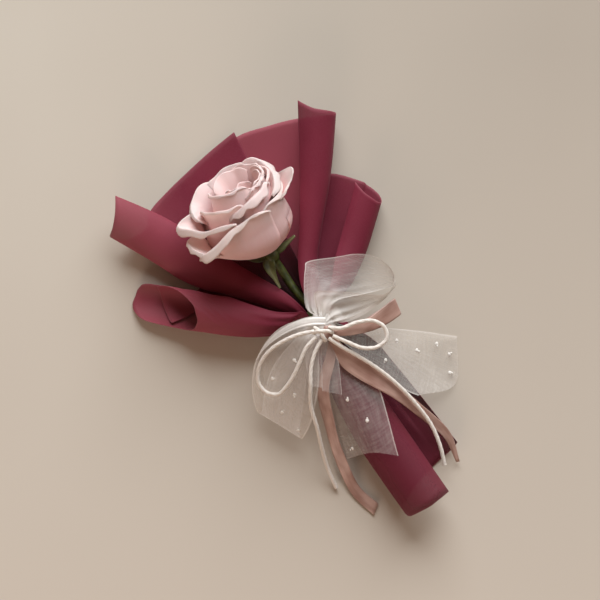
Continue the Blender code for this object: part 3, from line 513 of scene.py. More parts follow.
def satin_finish():
    """Dusty rose satin: glossy, with a soft change of tone along it that paints sheen and shade onto it,
    and a fine weave.
    """
    made, tree = start_material(
        "rose_satin", Roughness=0.36, Anisotropic=0.5, Sheen_Weight=0.4, Sheen_Roughness=0.35
    )
    uv = coordinates(tree, "UV")
    soft = noise(tree, stretch(tree, uv, 1.2, 0.55, 1.0), 1.0, detail=2.0)
    grain = noise(tree, stretch(tree, uv, 14.0, 0.5, 1.0), 1.0, detail=2.0)
    mixed = plus(tree, times(tree, soft, 0.85), times(tree, grain, 0.15))
    # The tone moves between painted shade and painted sheen along the satin.
    tone = blend(tree, remap(tree, mixed, 0.38, 0.62), SATIN_PAINTED_SHADE, SATIN_PAINTED_SHEEN)
    return finished(made, tone, plus(tree, *threads(tree, uv, SATIN_PITCH)), 0.1, 0.04)


def cord_finish():
    """White cord with slanting yarn, painted shade in the grooves between the yarns, and fine fuzz."""
    made, tree = start_material("white_cord", Roughness=0.6, Sheen_Weight=0.3)
    across, along = split(tree, coordinates(tree, "UV"))
    slant = plus(tree, times(tree, along, 90.0), times(tree, across, 40.0))
    yarn = math_node(tree, "ABSOLUTE", math_node(tree, "SINE", slant))
    fuzz = noise(tree, coordinates(tree, "Object"), 3000.0, detail=2.0)
    height = plus(tree, yarn, times(tree, fuzz, 0.5))
    # Painted shade in the grooves between the yarns.
    return finished(made, blend(tree, yarn, CORD_GROOVE_PAINTED_SHADE, CORD_WHITE), height, 0.5, 0.12)


finishes = {
    "paper": paper_finish(),
    "petal": petal_finish(),
    "green": green_finish("stem_green"),
    "sepal": green_finish("sepal_green", True),
    "tape": grained_finish("tape_green", 420.0, 4.0, GREEN_DARK, TAPE_LIGHT, 0.6, 0.3, Roughness=0.75),
    "organza": organza_finish("white_organza", *ORGANZA_COVER, ORGANZA_TONE),
    # The white organza again with a grey tone, as painted shade.
    "organza_painted_shade": organza_finish("organza_in_painted_shade", *ORGANZA_PAINTED_SHADE_COVER, ORGANZA_PAINTED_SHADE_TONE),
    "dot": grained_finish(
        "white_dot", 2500.0, 2.0, DOT_SHADE, DOT_WHITE, 0.6, 0.2, Roughness=0.7, Sheen_Weight=0.4
    ),
    "satin": satin_finish(),
    "cord": cord_finish(),
}


# Light and floor

# Each light holds how far it lies along the picture's right and up and towards the camera, then its
# distance, size, power and colour.
LIGHTS = {
    "key": ((0.25, 1.75, 1.0), 5.0, 5.4, 477.0, (0.958, 0.982, 1.0)),
    "fill": ((-0.35, -1.0, 0.4), 1.2, 0.7, 4.9, (1.0, 0.77, 0.65)),
}
SKY_COLOR = (1.0, 0.67, 0.44)
SKY_POWER = 0.165
FLOOR_HALF = 1.5
FLOOR_STEPS = 8
FLOOR_LEVEL = -0.0003
# Painted light and shade on the floor: lighter to the picture's left and at its near side, darker to its
# right.
FLOOR_PAINTED_LIGHT_LEFT = (0.63, 0.585, 0.51)
FLOOR_PAINTED_SHADE_RIGHT = (0.49, 0.441, 0.379)
FLOOR_PAINTED_LIGHT_NEAR = (0.6, 0.54, 0.466)
FLOOR_CLOUD = (0.57, 0.512, 0.44)


def soft_light(name, axes, towards, distance, size, power, color):
    """A round light that shines at the frame's middle."""
    data = bpy.data.lights.new(name, "AREA")
    data.shape = "DISK"
    data.size = size
    data.energy = power
    data.color = color
    item = put(bpy.data.objects.new(name, data))
    ahead = sum((axis * share for axis, share in zip(axes, towards)), Vector()).normalized()
    item.location = ahead * distance
    item.rotation_mode = "QUATERNION"
    item.rotation_quaternion = (-ahead).to_track_quat("-Z", "Y")


def floor_finish():
    """A pale floor with soft clouds and painted light: painted shade darkens it to the picture's right and
    painted light lightens it at its near side.
    """
    made, tree = start_material("floor", Roughness=0.9, Specular_IOR_Level=0.2)
    place = coordinates(tree, "Object")
    inputs = {"Vector": place, "Rotation": (0.0, 0.0, math.radians(VIEW_TURN))}
    aside, away = split(tree, add(tree, "Mapping", inputs).outputs["Vector"])
    # Painted light to the picture's left and painted shade to its right, then painted light at the near
    # side.
    tone = blend(tree, remap(tree, aside, -0.15, 0.13), FLOOR_PAINTED_LIGHT_LEFT, FLOOR_PAINTED_SHADE_RIGHT)
    tone = blend(tree, remap(tree, away, -0.165, 0.15), FLOOR_PAINTED_LIGHT_NEAR, tone)
    tone = tinted(tree, tone, FLOOR_CLOUD, noise(tree, place, 5.0, detail=2.0), 0.4, 0.7, 0.0, 0.4)
    tree.links.new(tone, shader_input(tree, "Base Color"))
    return made


def make_floor():
    """The plain floor under the bouquet."""
    mesh = bpy.data.meshes.new("floor")
    shape = bmesh.new()
    bmesh.ops.create_grid(shape, x_segments=FLOOR_STEPS, y_segments=FLOOR_STEPS, size=FLOOR_HALF)
    shape.to_mesh(mesh)
    shape.free()
    mesh.materials.append(floor_finish())
    floor = put(bpy.data.objects.new("floor", mesh))
    floor.location.z = FLOOR_LEVEL


def make_studio(axes):
    """A large key light, a small warm fill light and a faint warm sky."""
    for name, looks in LIGHTS.items():
        soft_light(name, axes, *looks)
    backdrop = bpy.data.worlds.new("studio")
    bpy.context.scene.world = backdrop
    backdrop.use_nodes = True
    background = backdrop.node_tree.nodes["Background"]
    background.inputs["Color"].default_value = (*SKY_COLOR, 1.0)
    background.inputs["Strength"].default_value = SKY_POWER
    bpy.context.scene.view_settings.view_transform = "Standard"
    make_floor()


# Paper: three sheets that are squeezed at the neck
NECK_HEIGHT = 16.0
NECK_HALF = 7.0
OUTER_NECK = 10.8
INNER_NECK = 9.4
LINER_NECK = 8.0
FAN_ROWS = 8
HANDLE_ROWS = 5
# How steeply a panel sinks from the neck, and where along a curl its free side tightens.
PANEL_SAG = 1.8
TIGHTEN = (45.0, 85.0)

# A curl is a roll of paper round a line that leaves the neck. Its stations hold the distance along
# the line, its centre, half width and half height, heading, and the angles where the paper starts
# and stops going round: 0 is the right side looking along the roll, 90 its top. Its ends hold how
# far the paper reaches at each share of the way round. A panel's ends are points.

# Inner sheet: left wing, back panel, tall strip
LEFT_WING = [
    (-7, 0, -7, 16, 9.4, 9.4, 90, 112, 232),
    (7, 0, 7, 16, 9.4, 9.4, 92, 112, 232),
    (22, -8.5, 19.5, 13.4, 8.2, 8.6, 112, 72, 262),
    (45, -22.4, 39, 10.3, 8.6, 7, 119.4, 34, 270),
    (70, -35.3, 60.4, 7.8, 12.6, 6.2, 119.4, 28, 270),
    (97, -46, 85.3, 9.2, 13, 7.9, 119.4, 28, 270),
    (125, -57.8, 110.7, 11.6, 13, 10.3, 119.4, 48, 270),
]
LEFT_WING_ENDS = [(0, 129.8), (0.19, 125.9), (0.33, 123.7), (0.6, 122.6), (0.8, 113), (1, 107)]
TALL_STRIP = [
    (-7, 0, -7, 16, 9.4, 9.4, 90, 308, 448),
    (7, 0, 7, 16, 9.4, 9.4, 88, 308, 448),
    (31, 11, 28, 14.2, 6.8, 7.4, 62, 265, 486),
    (45, 20.6, 39.4, 13, 7, 7.6, 56.6, 255, 494),
    (79, 43, 66.3, 12.3, 9.8, 9, 56.6, 250, 498),
    (116, 65, 96, 12.6, 12, 10.2, 56.6, 250, 500),
]
TALL_STRIP_ENDS = [(0, 110.5), (0.35, 112), (0.45, 112.4), (0.8, 115.3), (1, 120.1)]
BACK_PANEL_ANGLES = [242, 252, 262, 272, 283, 295]
BACK_PANEL_ENDS = [
    (-36, 99, 1.4), (-19, 102.5, 1.4), (1, 105.5, 1.4), (21, 107.2, 1.4), (38, 102.3, 1.5),
    (50, 98, 1.9),
]

# Liner: the short panel in front of the back panel
LINER_ANGLES = [172, 196, 218, 240, 262, 285, 312]
LINER_ENDS = [
    (-48.3, 93, 4), (-42.3, 100.8, 2.9), (-28, 104.5, 2.8), (-11, 107.2, 2.8), (3, 109, 2.8),
    (12.5, 109.8, 2.8), (20.8, 110.3, 2.8),
]

# Outer sheet: lower roll, right wing, handle
LOWER_ROLL = [
    (-119, -8.6, -119, 12.2, 13.8, 11.8, 90, 22, 250),
    (-60, -7.8, -60, 12.6, 13.3, 11.8, 90, 22, 250),
    (-22, -2.4, -22, 15.2, 12, 11.2, 90, 75, 240),
    (-7, 0, -7, 16, 10.8, 10.8, 90, 118, 235),
    (7, -0.4, 6.5, 16, 10.8, 10.8, 94, 110, 236),
    (22, -17, 11.6, 15.2, 8.8, 10.2, 135, 68, 250),
    (35, -28.4, 19.2, 13.9, 9.9, 10.9, 139.5, 46, 262),
    (50, -40.3, 29.6, 12.9, 10.7, 11.6, 139.5, 10, 285),
    (66, -51.6, 40.9, 12.75, 11.3, 12.2, 139.5, -85, 305),
    (82, -63.3, 52, 12.8, 11.8, 12.3, 139.5, -160, 330),
    (101, -76.9, 65.4, 12.8, 12.2, 12.3, 139.5, -160, 330),
]
LOWER_ROLL_ENDS = [
    (0, 80), (0.08, 82.6), (0.18, 86.5), (0.3, 90), (0.37, 80), (0.42, 70), (0.51, 66), (0.61, 67),
    (0.68, 70.5), (0.71, 73), (0.74, 82), (0.77, 98), (0.85, 102.5), (0.95, 100), (1, 94),
]
HANDLE_LEFT_ENDS = [(0, -119.4), (0.3, -120.4), (0.6, -118.3), (0.7, -114.5), (1, -108)]
RIGHT_WING = [
    (-110, 11.6, -110, 12.25, 14.2, 11.8, 90, 272, 332),
    (-60, 8.8, -60, 12.65, 13.4, 11.8, 90, 272, 338),
    (-22, 3.4, -22, 15.2, 13.2, 11.2, 90, 290, 365),
    (-7, 0, -7, 16, 10.8, 10.8, 90, 308, 410),
    (7, 0.4, 6.5, 16, 10.8, 10.8, 86, 306, 414),
    (18, 14.4, 9.6, 14.4, 9.4, 9.8, 48, 275, 450),
    (33, 28.6, 16.8, 11.3, 9.4, 8.8, 36.9, 250, 482),
    (75, 62.2, 42, 9.3, 9.6, 8.4, 36.9, 240, 500),
]
RIGHT_WING_ENDS = [(0, 79), (0.15, 77.5), (0.3, 75), (0.45, 71.4), (0.62, 71), (0.8, 73), (1, 77.5)]
HANDLE_RIGHT_ENDS = [(0, -102.2), (0.6, -101.4), (1, -99.9)]
UNDER_PANEL_ANGLES = [243, 254, 265, 276, 287, 298]
UNDER_PANEL_ENDS = [
    (-47.5, 51, 0.5), (-36, 55, 0.35), (-12, 60, 0.35), (18, 62, 0.35), (38, 64, 0.4),
    (51.2, 61.2, 0.8),
]
HANDLE_UNDER_ENDS = [
    (-10, -106.5, 0.4), (-6.5, -105.5, 0.35), (-2.5, -104.5, 0.35), (2, -103.8, 0.35), (6, -103, 0.35),
    (9.5, -102.5, 0.4),
]

# Columns in each curl, how much the lower roll tightens, and how soon the under panel is level.
WING_COLUMNS = 12
STRIP_COLUMNS = 12
ROLL_COLUMNS = 22
ROLL_TIGHTEN = 0.2
UNDER_SETTLED = 0.72

# Finer steps between a sheet's columns and between its rows.
SHEET_STEPS = (5, 5)
LINER_STEPS = (8, 5)

# Gathers at the neck: depth, how many, and how far they reach. They start a little beyond the tie.
PAPER_PLEATS = (0.35, 11, 26.0)
PLEAT_START = 4.0
PLEAT_DRIFT = (0.7, 9.0)

# Where the painted light that comes through the paper starts and where it is full: up the fan and across
# the single left wing, and where the painted shade deep in the wrap starts and where it is darkest.
FAN_LIT = (-40.0, 20.0)
WING_LIT = (-20.0, -56.0)
DEEP_PAINTED_SHADE = (70.0, 28.0)
# How single the back panel is, which paints light coming through it.
BACK_THIN = 0.8


def curl_points(stations, turn, where, tighten):
    """Points of a curl at the share turn of the way round, at the distances where along it."""
    table = np.asarray(stations, float)
    found = smooth_at(table[:, 0], table[:, 1:], where)
    x, y, z, half_width, half_height, heading, start, stop = found.T
    angle = np.radians(start + (stop - start) * turn)
    course = np.radians(heading)
    inward = 1.0 - tighten * (1.0 - turn) ** 2 * ramp(where, *TIGHTEN)
    aside = half_width * inward * np.cos(angle)
    upward = half_height * inward * np.sin(angle)
    return np.stack([x + aside * np.sin(course), y - aside * np.cos(course), z + upward], axis=1)


def curl_columns(stations, count, far_ends, near_ends=None, tighten=0.0):
    """The columns of a curl. far_ends holds where each share of the way round ends."""
    columns = []
    for turn in even(count - 1):
        far = np.interp(turn, *zip(*far_ends))
        where = [-NECK_HALF, *np.linspace(NECK_HALF, far, FAN_ROWS + 1)]
        if near_ends:
            near = np.interp(turn, *zip(*near_ends))
            where = [*np.linspace(near, -NECK_HALF, HANDLE_ROWS, endpoint=False), *where]
        columns.append(curl_points(stations, turn, np.array(where), tighten))
    return columns


def neck_point(radius, angle, along):
    """A point on the round neck."""
    turned = math.radians(angle)
    return np.array([radius * math.cos(turned), along, NECK_HEIGHT + radius * math.sin(turned)])


def slide(start, end, shares, settled=1.0):
    """Points straight from start to end, which reach the end's height at the share settled."""
    shares, end = shares[:, None], np.array(end, float)
    points = start + (end - start) * shares
    points[:, 2:] = end[2] + (start[2] - end[2]) * np.maximum(0.0, 1 - shares / settled) ** PANEL_SAG
    return points


def panel_columns(radius, angles, far_points, near_points=None, settled=1.0):
    """Columns that run straight from the neck to far points, and to near points along the handle."""
    columns = []
    for index, (angle, far) in enumerate(zip(angles, far_points)):
        low, high = (neck_point(radius, angle, end) for end in (-NECK_HALF, NECK_HALF))
        column = [low, *slide(high, far, even(FAN_ROWS), settled)]
        if near_points:
            column = [*slide(low, near_points[index], 1.0 - even(HANDLE_ROWS)[:-1]), *column]
        columns.append(np.array(column))
    return columns


def pleat(places, root, depth, count, reach):
    """Soft gathers that fade out with distance from the row root."""
    along = arc_lengths(places, 1)
    away = np.abs(along - along[:, root : root + 1])
    fade = np.exp(-((away / reach) ** 2)) * (1 - np.exp(-((away / PLEAT_START) ** 2)))
    return gathered(places, count, PLEAT_DRIFT, depth * fade)


def sheet_looks(places, single, depth):
    """The second uv of a sheet: how far it is to its ends in centimetres, and how much light it lets
    through, which its finish lays on as painted light and painted shade: 0, in painted shade, at the
    handle's many layers, 1 in the fan, 2, with painted light, at the single left wing, and down to -1, in
    the darkest painted shade, deep in the wrap, behind the stem."""
    along = arc_lengths(places, 1)
    ends = np.minimum(along, along[:, -1:] - along) / CM
    fan = ramp(places[..., 1], *FAN_LIT)
    wing = ramp(places[..., 0], *WING_LIT)
    deep = depth * ramp(places[..., 1], *DEEP_PAINTED_SHADE)
    return np.stack([ends, fan + fan * np.maximum(wing, single) - 2.0 * deep], axis=-1)


def paper_piece(name, node, columns, steps, root, thin=None, depth=0.0):
    """A sheet through columns, with its gathers from the row root. thin says how single the paper is at
    each column, which sets its painted light, and depth how dark its painted shade gets behind the stem."""
    across, along = steps
    places = refine(columns, (len(columns) - 1) * across, (len(columns[0]) - 1) * along)
    thin = thin or [0.0] * len(columns)
    single = np.interp(across_share(places), even(len(columns) - 1), thin)
    places = pleat(places, root * along, *PAPER_PLEATS)
    part = (places, grid_uv(places), 0, sheet_looks(places, single, depth))
    piece = add_piece(name, [part], [finishes["paper"]], PAPER)
    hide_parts(node)


def make_paper():
    """The inner sheet, the liner and the outer sheet."""
    wing = curl_columns(LEFT_WING, WING_COLUMNS, LEFT_WING_ENDS)
    back = panel_columns(INNER_NECK, BACK_PANEL_ANGLES, BACK_PANEL_ENDS)
    strip = curl_columns(TALL_STRIP, STRIP_COLUMNS, TALL_STRIP_ENDS)
    inner = wing + back + strip
    thin = [0.0] * len(wing) + [BACK_THIN] * len(back) + [0.0] * len(strip)
    paper_piece(
        "inner_paper",
        "paper_inner_sheet",
        inner,
        SHEET_STEPS,
        0,
        thin=thin,
    )
    liner = panel_columns(LINER_NECK, LINER_ANGLES, LINER_ENDS)
    paper_piece(
        "paper_lining",
        "paper_liner",
        liner,
        LINER_STEPS,
        0,
        depth=1.0,
    )
    outer = curl_columns(LOWER_ROLL, ROLL_COLUMNS, LOWER_ROLL_ENDS, HANDLE_LEFT_ENDS, ROLL_TIGHTEN)
    outer += panel_columns(
        OUTER_NECK, UNDER_PANEL_ANGLES, UNDER_PANEL_ENDS, HANDLE_UNDER_ENDS, UNDER_SETTLED
    )
    outer += curl_columns(RIGHT_WING, WING_COLUMNS, RIGHT_WING_ENDS, HANDLE_RIGHT_ENDS)
    paper_piece(
        "outer_paper",
        "paper_outer_sheet",
        outer,
        SHEET_STEPS,
        HANDLE_ROWS + 1,
    )


# Rose: it leans forward in the wrap
BLOOM_BASE = (-4.4, 48.6, 21.3)
BLOOM_RISE = 30.0
BLOOM_TURN = 9.5

# Petals from the outside in. Each holds how far its heart sits to the right, its belly's radius,
# how early it flares, and its rim across as (angle, radius, height, width of the folded lip) round
# the bloom's axis: angle 0 is the right side and 90 the side that faces up.
PETALS = [
    (0, 24.5, 0.35, [
        (337, 24.6, 36.4, 0.6), (310, 24.8, 38, 0.8), (280, 24.6, 38.4, 0.8), (248, 24.4, 37, 0.6),
    ]),
    (0, 23.2, 0.35, [
        (266, 24, 37.6, 0.6), (240, 24.6, 38.6, 0.9), (214, 25, 37.8, 0.9), (190, 24.6, 35, 0.6),
    ]),
    (0, 23.2, 0.35, [
        (70, 24, 34.4, 0.8), (54, 25.8, 36.4, 1.4), (30, 26.6, 37.2, 2), (4, 25.6, 37, 1.2),
        (-18, 24.6, 36, 0.8), (-40, 24, 34.4, 0.6),
    ]),
    (-1, 24.2, 0.3, [
        (155, 34.4, 21.6, 2.2), (144, 33.4, 24.6, 5), (129, 30.2, 29, 6.4), (113, 26.8, 32.4, 5.8),
        (99, 24.4, 34.4, 3.4), (84, 24.4, 35.8, 1), (70, 25.6, 36.4, 1.8), (56, 26, 34.6, 1.2),
    ]),
    (0, 24, 0.15, [
        (192, 28, 23, 1.4), (178, 33.6, 26.4, 2.8), (164, 35, 25.6, 2.4), (150, 33.4, 23, 2.4),
        (138, 28.6, 20, 1),
    ]),
    (0, 23.2, 0.1, [
        (201, 24, 36, 1.2), (190, 27.4, 36.6, 2.4), (180, 34.8, 36.6, 2.8), (169, 30.2, 34.2, 4.6),
        (150, 27.6, 34.6, 4.2), (128, 25.6, 36, 2.8), (104, 24.4, 36.6, 1),
    ]),
    (0, 23.8, 0.02, [
        (-20, 24.4, 35.4, 0.6), (-12, 27, 37, 0.8), (-3, 34, 38.6, 1), (4, 34.4, 36.8, 0.8),
        (12, 30.6, 34, 0.8), (24, 27, 33.8, 1.4), (36, 25.6, 34.2, 0.8),
    ]),
    (0, 16, 0.12, [
        (252, 22.4, 41, 1), (232, 23.8, 42.4, 2.2), (212, 24.8, 41.4, 2.6), (194, 25, 39, 2.6),
        (178, 24.6, 37, 2), (164, 23.6, 35.6, 0.8),
    ]),
    (0, 16, 0.15, [
        (318, 21.6, 40.8, 1.4), (298, 22.8, 43.8, 2), (272, 22.8, 42.8, 2.2), (250, 22.8, 42, 1.6),
        (232, 22, 40.4, 0.8),
    ]),
    (1, 16.6, 0.14, [
        (290, 20.6, 43, 1.6), (308, 23.2, 45.6, 3), (332, 23.2, 44, 4.6), (356, 22.8, 42, 5),
        (380, 23.4, 41, 4.2), (404, 23.8, 39.6, 1.6),
    ]),
    (1, 20.8, 0.35, [
        (186, 21.6, 38.2, 0.8), (164, 22, 41, 1.4), (138, 21.4, 43, 1.8), (112, 20.2, 43.6, 1.4),
        (88, 19, 42.6, 0.8),
    ]),
    (1, 20.2, 0.35, [
        (118, 20.6, 37, 1.2), (102, 20.4, 40.6, 3.6), (82, 20, 42.4, 5), (56, 19.8, 43.2, 4.8),
        (36, 20.2, 44, 3), (20, 20, 43.2, 0.8),
    ]),
    (2, 13.4, 0.15, [
        (350, 17.6, 43.6, 0.8), (326, 18.6, 44.8, 1.4), (300, 18.6, 45, 1.4), (276, 18, 44, 0.8),
    ]),
    (3, 17, 0.3, [
        (402, 18, 42.8, 0.8), (376, 18.8, 44, 1.4), (350, 18.6, 44.6, 1.4), (322, 18, 44.4, 0.8),
    ]),
    (3.4, 18.4, 0.4, [
        (204, 16.6, 43.6, 0.8), (174, 15.6, 46.4, 1.6), (140, 13.6, 47.6, 1.8), (108, 12, 47.8, 1.4),
        (80, 11, 47, 1), (60, 10.6, 45.4, 0.6),
    ]),
    (4.4, 16.4, 0.4, [
        (90, 14, 43.4, 0.8), (64, 14.6, 45.2, 1.6), (38, 14.8, 46, 1.6), (12, 14.6, 45.4, 0.8),
    ]),
    (4, 9.6, 0.15, [
        (304, 14, 45, 0.8), (270, 14.6, 45.8, 1.4), (234, 15, 45.4, 1.4), (200, 14.6, 44, 0.8),
    ]),
    (5.6, 12.4, 0.35, [
        (404, 13, 44.8, 0.8), (372, 13.4, 45.8, 1.2), (340, 13.6, 46, 1.2), (308, 13.2, 45.2, 0.8),
    ]),
    (6.4, 8.6, 0.35, [
        (186, 9.8, 44, 0.6), (146, 9.2, 45.6, 1), (104, 8.6, 45.6, 1), (64, 8.6, 44, 0.6),
    ]),
    (7.6, 8, 0.35, [(72, 9, 44.4, 0.6), (34, 9.6, 45.2, 1), (-6, 9.6, 45.2, 1), (-44, 9, 44.4, 0.6)]),
    (9, 4.8, 0.35, [(300, 5.6, 40, 0.6), (230, 6, 40.8, 0.8), (160, 5.6, 40.6, 0.8), (90, 5, 40, 0.6)]),
]
# From a petal's root to its rim: share of its length, spread, and how much its radius takes from its
# root, belly, rim and lip, then its height low down and how much that takes from the rim and the lip.
PETAL_PROFILE = [
    (0, 0.6, 1, 0, 0, 0, 0, 0, 0),
    (0.12, 0.8, 0, 0.48, 0, 0, 2.4, 0, 0),
    (0.34, 0.94, 0, 1, 0, 0, 13, 0, 0),
    (0.58, 1, 0, 1, 0, 0, 0, 0.78, 0),
    (0.8, 1, 0, 0, 1, -0.06, 0, 1, -0.1),
    (0.83, 1, 0, 0, 1, 0.04, 0, 1, 0),
    (0.87, 1, 0, 0, 1, 0.2, 0, 1, -0.06),
    (1, 1, 0, 0, 1, 0.72, 0, 1, -0.7),
]
# The step of the profile that an early flare moves outwards, how much that lowers it, and the
# columns that it changes.
FLARE_STEP = 3
FLARE_DROP = 0.23
BELLY_AND_RIM = slice(3, 5)
RIM_HEIGHT = 7
PETAL_COLUMNS = 28
PETAL_ROWS = 34
PETAL_ROOT_RADIUS = 4.5
# The bloom's base sits to one side up to BASE_REACH, and each heart is fully aside at HEART_REACH.
BASE_ASIDE = 4.0
BASE_REACH = 16.0
HEART_REACH = 40.0
# Waves across a petal, each as (height, turns, shift from petal to petal).
LIP_WAVES = [(0.17, 13.0, 1.7), (0.13, 29.0, 2.9)]
RADIUS_WAVES = [(0.3, 9.0, 2.1), (0.15, 17.0, 5.3)]
HEIGHT_WAVES = [(0.4, 8.0, 3.7), (0.35, 17.0, 2.3)]
NOTCH_WAVES = [(0.25, 12.0, 4.1)]
FRILL_WAVES = [(0.34, 27.0, 1.0), (0.22, 51.0, 3.0)]
FRILL_START = 0.8
# How much lower a rim's two corners are, and how late they start.
CORNER_DROP = 0.04
CORNER_POWER = 6


def bloom_axes():
    """The bloom's own right, the side that faces up, and the way to its mouth."""
    rise, turn = math.radians(BLOOM_RISE), math.radians(BLOOM_TURN)
    ahead = np.array([math.sin(turn) * math.cos(rise), math.cos(turn) * math.cos(rise), math.sin(rise)])
    right = np.array([math.cos(turn), -math.sin(turn), 0.0])
    return right, np.cross(right, ahead), ahead


def ripple(across, number, waves):
    """The sum of waves across the petal with this number."""
    return sum(height * np.sin(across * turns + number * shift) for height, turns, shift in waves)


def petal_grid(aside, belly, flare, rim, number):
    """One petal that follows the rim points across, as a part for add_piece."""
    rim = np.array(rim, float)
    across = even(PETAL_COLUMNS)
    angle, radius, height, lip = smooth_at(even(len(rim) - 1), rim, across).T
    side = np.abs(2.0 * across - 1.0)
    fold = lip * (1.0 + ripple(across, number, LIP_WAVES))
    radius = radius + ripple(across, number, RADIUS_WAVES)
    height = height * (1.0 - CORNER_DROP * side**CORNER_POWER)
    height += ripple(across, number, HEIGHT_WAVES) + np.abs(ripple(across, number, NOTCH_WAVES))
    profile = np.array(PETAL_PROFILE)
    profile[FLARE_STEP, BELLY_AND_RIM] = 1.0 - flare, flare
    profile[FLARE_STEP, RIM_HEIGHT] -= FLARE_DROP * flare
    steps = even(PETAL_ROWS)
    spread, root, middle, top, lip_out, low, rise, drop = smooth_at(profile[:, 0], profile[:, 1:], steps).T
    out = root * PETAL_ROOT_RADIUS + middle * belly + np.outer(radius, top) + np.outer(fold, lip_out)
    up = low + np.outer(height, rise) + np.outer(fold, drop)
    up += np.outer(ripple(across, number, FRILL_WAVES), ramp(steps, FRILL_START, 1.0) ** 2)
    centre = rim[:, 0].mean()
    course = np.radians(centre + np.outer(angle - centre, spread))
    right, front, ahead = bloom_axes()
    lean = aside * ramp(up, 0.0, HEART_REACH) + BASE_ASIDE * ramp(up, BASE_REACH, 0.0) ** 2
    places = np.array(BLOOM_BASE) + out[..., None] * spokes(course, right, front)
    places += lean[..., None] * right + up[..., None] * ahead
    uv = share_uv(places)
    return places, uv, 0, np.full_like(uv, number / len(PETALS))


def make_rose():
    """All petals, as one piece."""
    parts = [petal_grid(*petal, number) for number, petal in enumerate(PETALS)]
    rose = add_piece("rose_petals", parts, [finishes["petal"]], PETAL)
    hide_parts("rose_bloom")


# Stem, with the green cup under the bloom and its sepals
STEM_RADIUS = 2.2
STEM_POINTS = 90
STEM_SIDES = 20
# The stem's slight swells: their share of its radius, and how many radians they run through.
STEM_SWELL = (0.04, 19.0)
STEM_ROUTE = [
    (-1.2, 42.6, 18.2), (-1.2, 35, 15.8), (-1.6, 26, 15), (-1.4, 17, 15.4), (0, 7, 16), (0, -7, 16),
    (1, -30, 14.4), (1.6, -58, 12.4), (2, -84, 11),
]
CUP_RADIUS = 4.4
CUP_BELOW_BLOOM = 6.6
CUP_STEPS = (32, 16)
# The points that each sepal follows from its root, with the half width at each. The last three
# lie under the bloom.
SEPALS = [
    [
        (-2.8, 43.4, 20.4, 1.8), (-5, 39.8, 22.8, 3.3), (-6.2, 36, 23.2, 2.5), (-6.8, 31.5, 22.8, 1.3),
        (-7.6, 25.4, 21.6, 0.6),
    ],
    [(0.4, 43.6, 19.4, 1.5), (4.4, 43, 19.6, 1.9), (9, 43.6, 19, 1.4), (15.6, 44.4, 19.2, 0.6)],
    [(1.4, 44, 16.4, 1.6), (4.8, 47, 13.6, 2.6), (8.4, 51, 11.6, 1.9), (11.4, 55, 10.6, 0.6)],
    [(-1.6, 44.4, 15.6, 1.6), (-1.8, 49, 12.2, 2.8), (-2.4, 55, 9.8, 2), (-3, 61, 8.4, 0.6)],
    [(-4, 43.6, 17, 1.6), (-8, 46, 14.6, 2.6), (-12, 49.4, 12.6, 1.9), (-15.4, 52.6, 11.6, 0.6)],
]
SEPAL_STEPS = (39, 10)
# How far a sepal's middle dips or its sides rise, as a share of its half width.
SEPAL_DISH = 0.35


def tube_grid(route, radius, sides, ridges=0, depth=0.0, twist=0.0):
    """A tube's places and UVs along route. ridges run round it, turning twist radians a millimetre."""
    route = np.asarray(route, float)
    ahead = np.gradient(route, axis=0)
    ahead /= np.linalg.norm(ahead, axis=1)[:, None]
    aside = np.cross(ahead, (0.0, 0.0, 1.0))
    aside /= np.maximum(np.linalg.norm(aside, axis=1)[:, None], 1e-9)
    above = np.cross(aside, ahead)
    turn = 2 * math.pi * even(sides)[:, None]
    run = run_along(route)[None, :]
    wave = np.abs(np.cos((ridges * turn + twist * run) / 2)) if ridges else 1.0
    thick = np.asarray(radius, float) * (1.0 - depth + depth * wave) * np.ones((sides + 1, len(route)))
    uv = np.stack(np.broadcast_arrays(turn / (2 * math.pi), run / CM), axis=-1)
    return route + spokes(turn, aside, above) * thick[..., None], uv


def blade_places(points, length_steps, width_steps):
    """A leaf along points that hold a half width each."""
    table = np.array(points, float)
    stations = run_along(table[:, :3])
    fine = smooth_at(stations, table, np.linspace(0, stations[-1], length_steps + 1))
    heading = np.gradient(fine[:, :2], axis=0)
    heading /= np.linalg.norm(heading, axis=1)[:, None]
    level = np.zeros(len(fine))
    aside = np.stack([heading[:, 1], -heading[:, 0], level], axis=1) * fine[:, 3:4]
    share = np.linspace(-1.0, 1.0, width_steps + 1)[:, None]
    places = fine[None, :, :3] + share[..., None] * aside
    places[..., 2] += SEPAL_DISH * fine[:, 3] * (np.abs(share) - 1.0)
    return places


def cup_places():
    """The green ball from which the petals grow."""
    right, front, ahead = bloom_axes()
    centre = np.array(BLOOM_BASE) + BASE_ASIDE * right - CUP_BELOW_BLOOM * ahead
    turn, tilt = ball_angles(*CUP_STEPS)
    out = np.sin(tilt)[..., None] * spokes(turn, right, front)
    return centre + CUP_RADIUS * (out + np.cos(tilt)[..., None] * ahead)


def make_stem():
    """The stem with its cup, and the sepals."""
    share, turns = STEM_SWELL
    radius = STEM_RADIUS * (1.0 + share * np.sin(np.linspace(0, turns, STEM_POINTS)))
    stem = tube_grid(smooth_route(STEM_ROUTE, STEM_POINTS), radius, STEM_SIDES)
    cup = cup_places()
    piece = add_piece("stem", [(*stem, 0), (cup, share_uv(cup), 0)], [finishes["green"]])
    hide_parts("rose_stem")
    blades = [blade_places(points, *SEPAL_STEPS) for points in SEPALS]
    parts = [(blade, share_uv(blade), 0) for blade in blades]
    leaves = add_piece("sepals", parts, [finishes["sepal"]], SEPAL)


def make_tape():
    """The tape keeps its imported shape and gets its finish."""
    for holder in frame["nodes"]["neck_tape"].material_slots:
        holder.material = finishes["tape"]


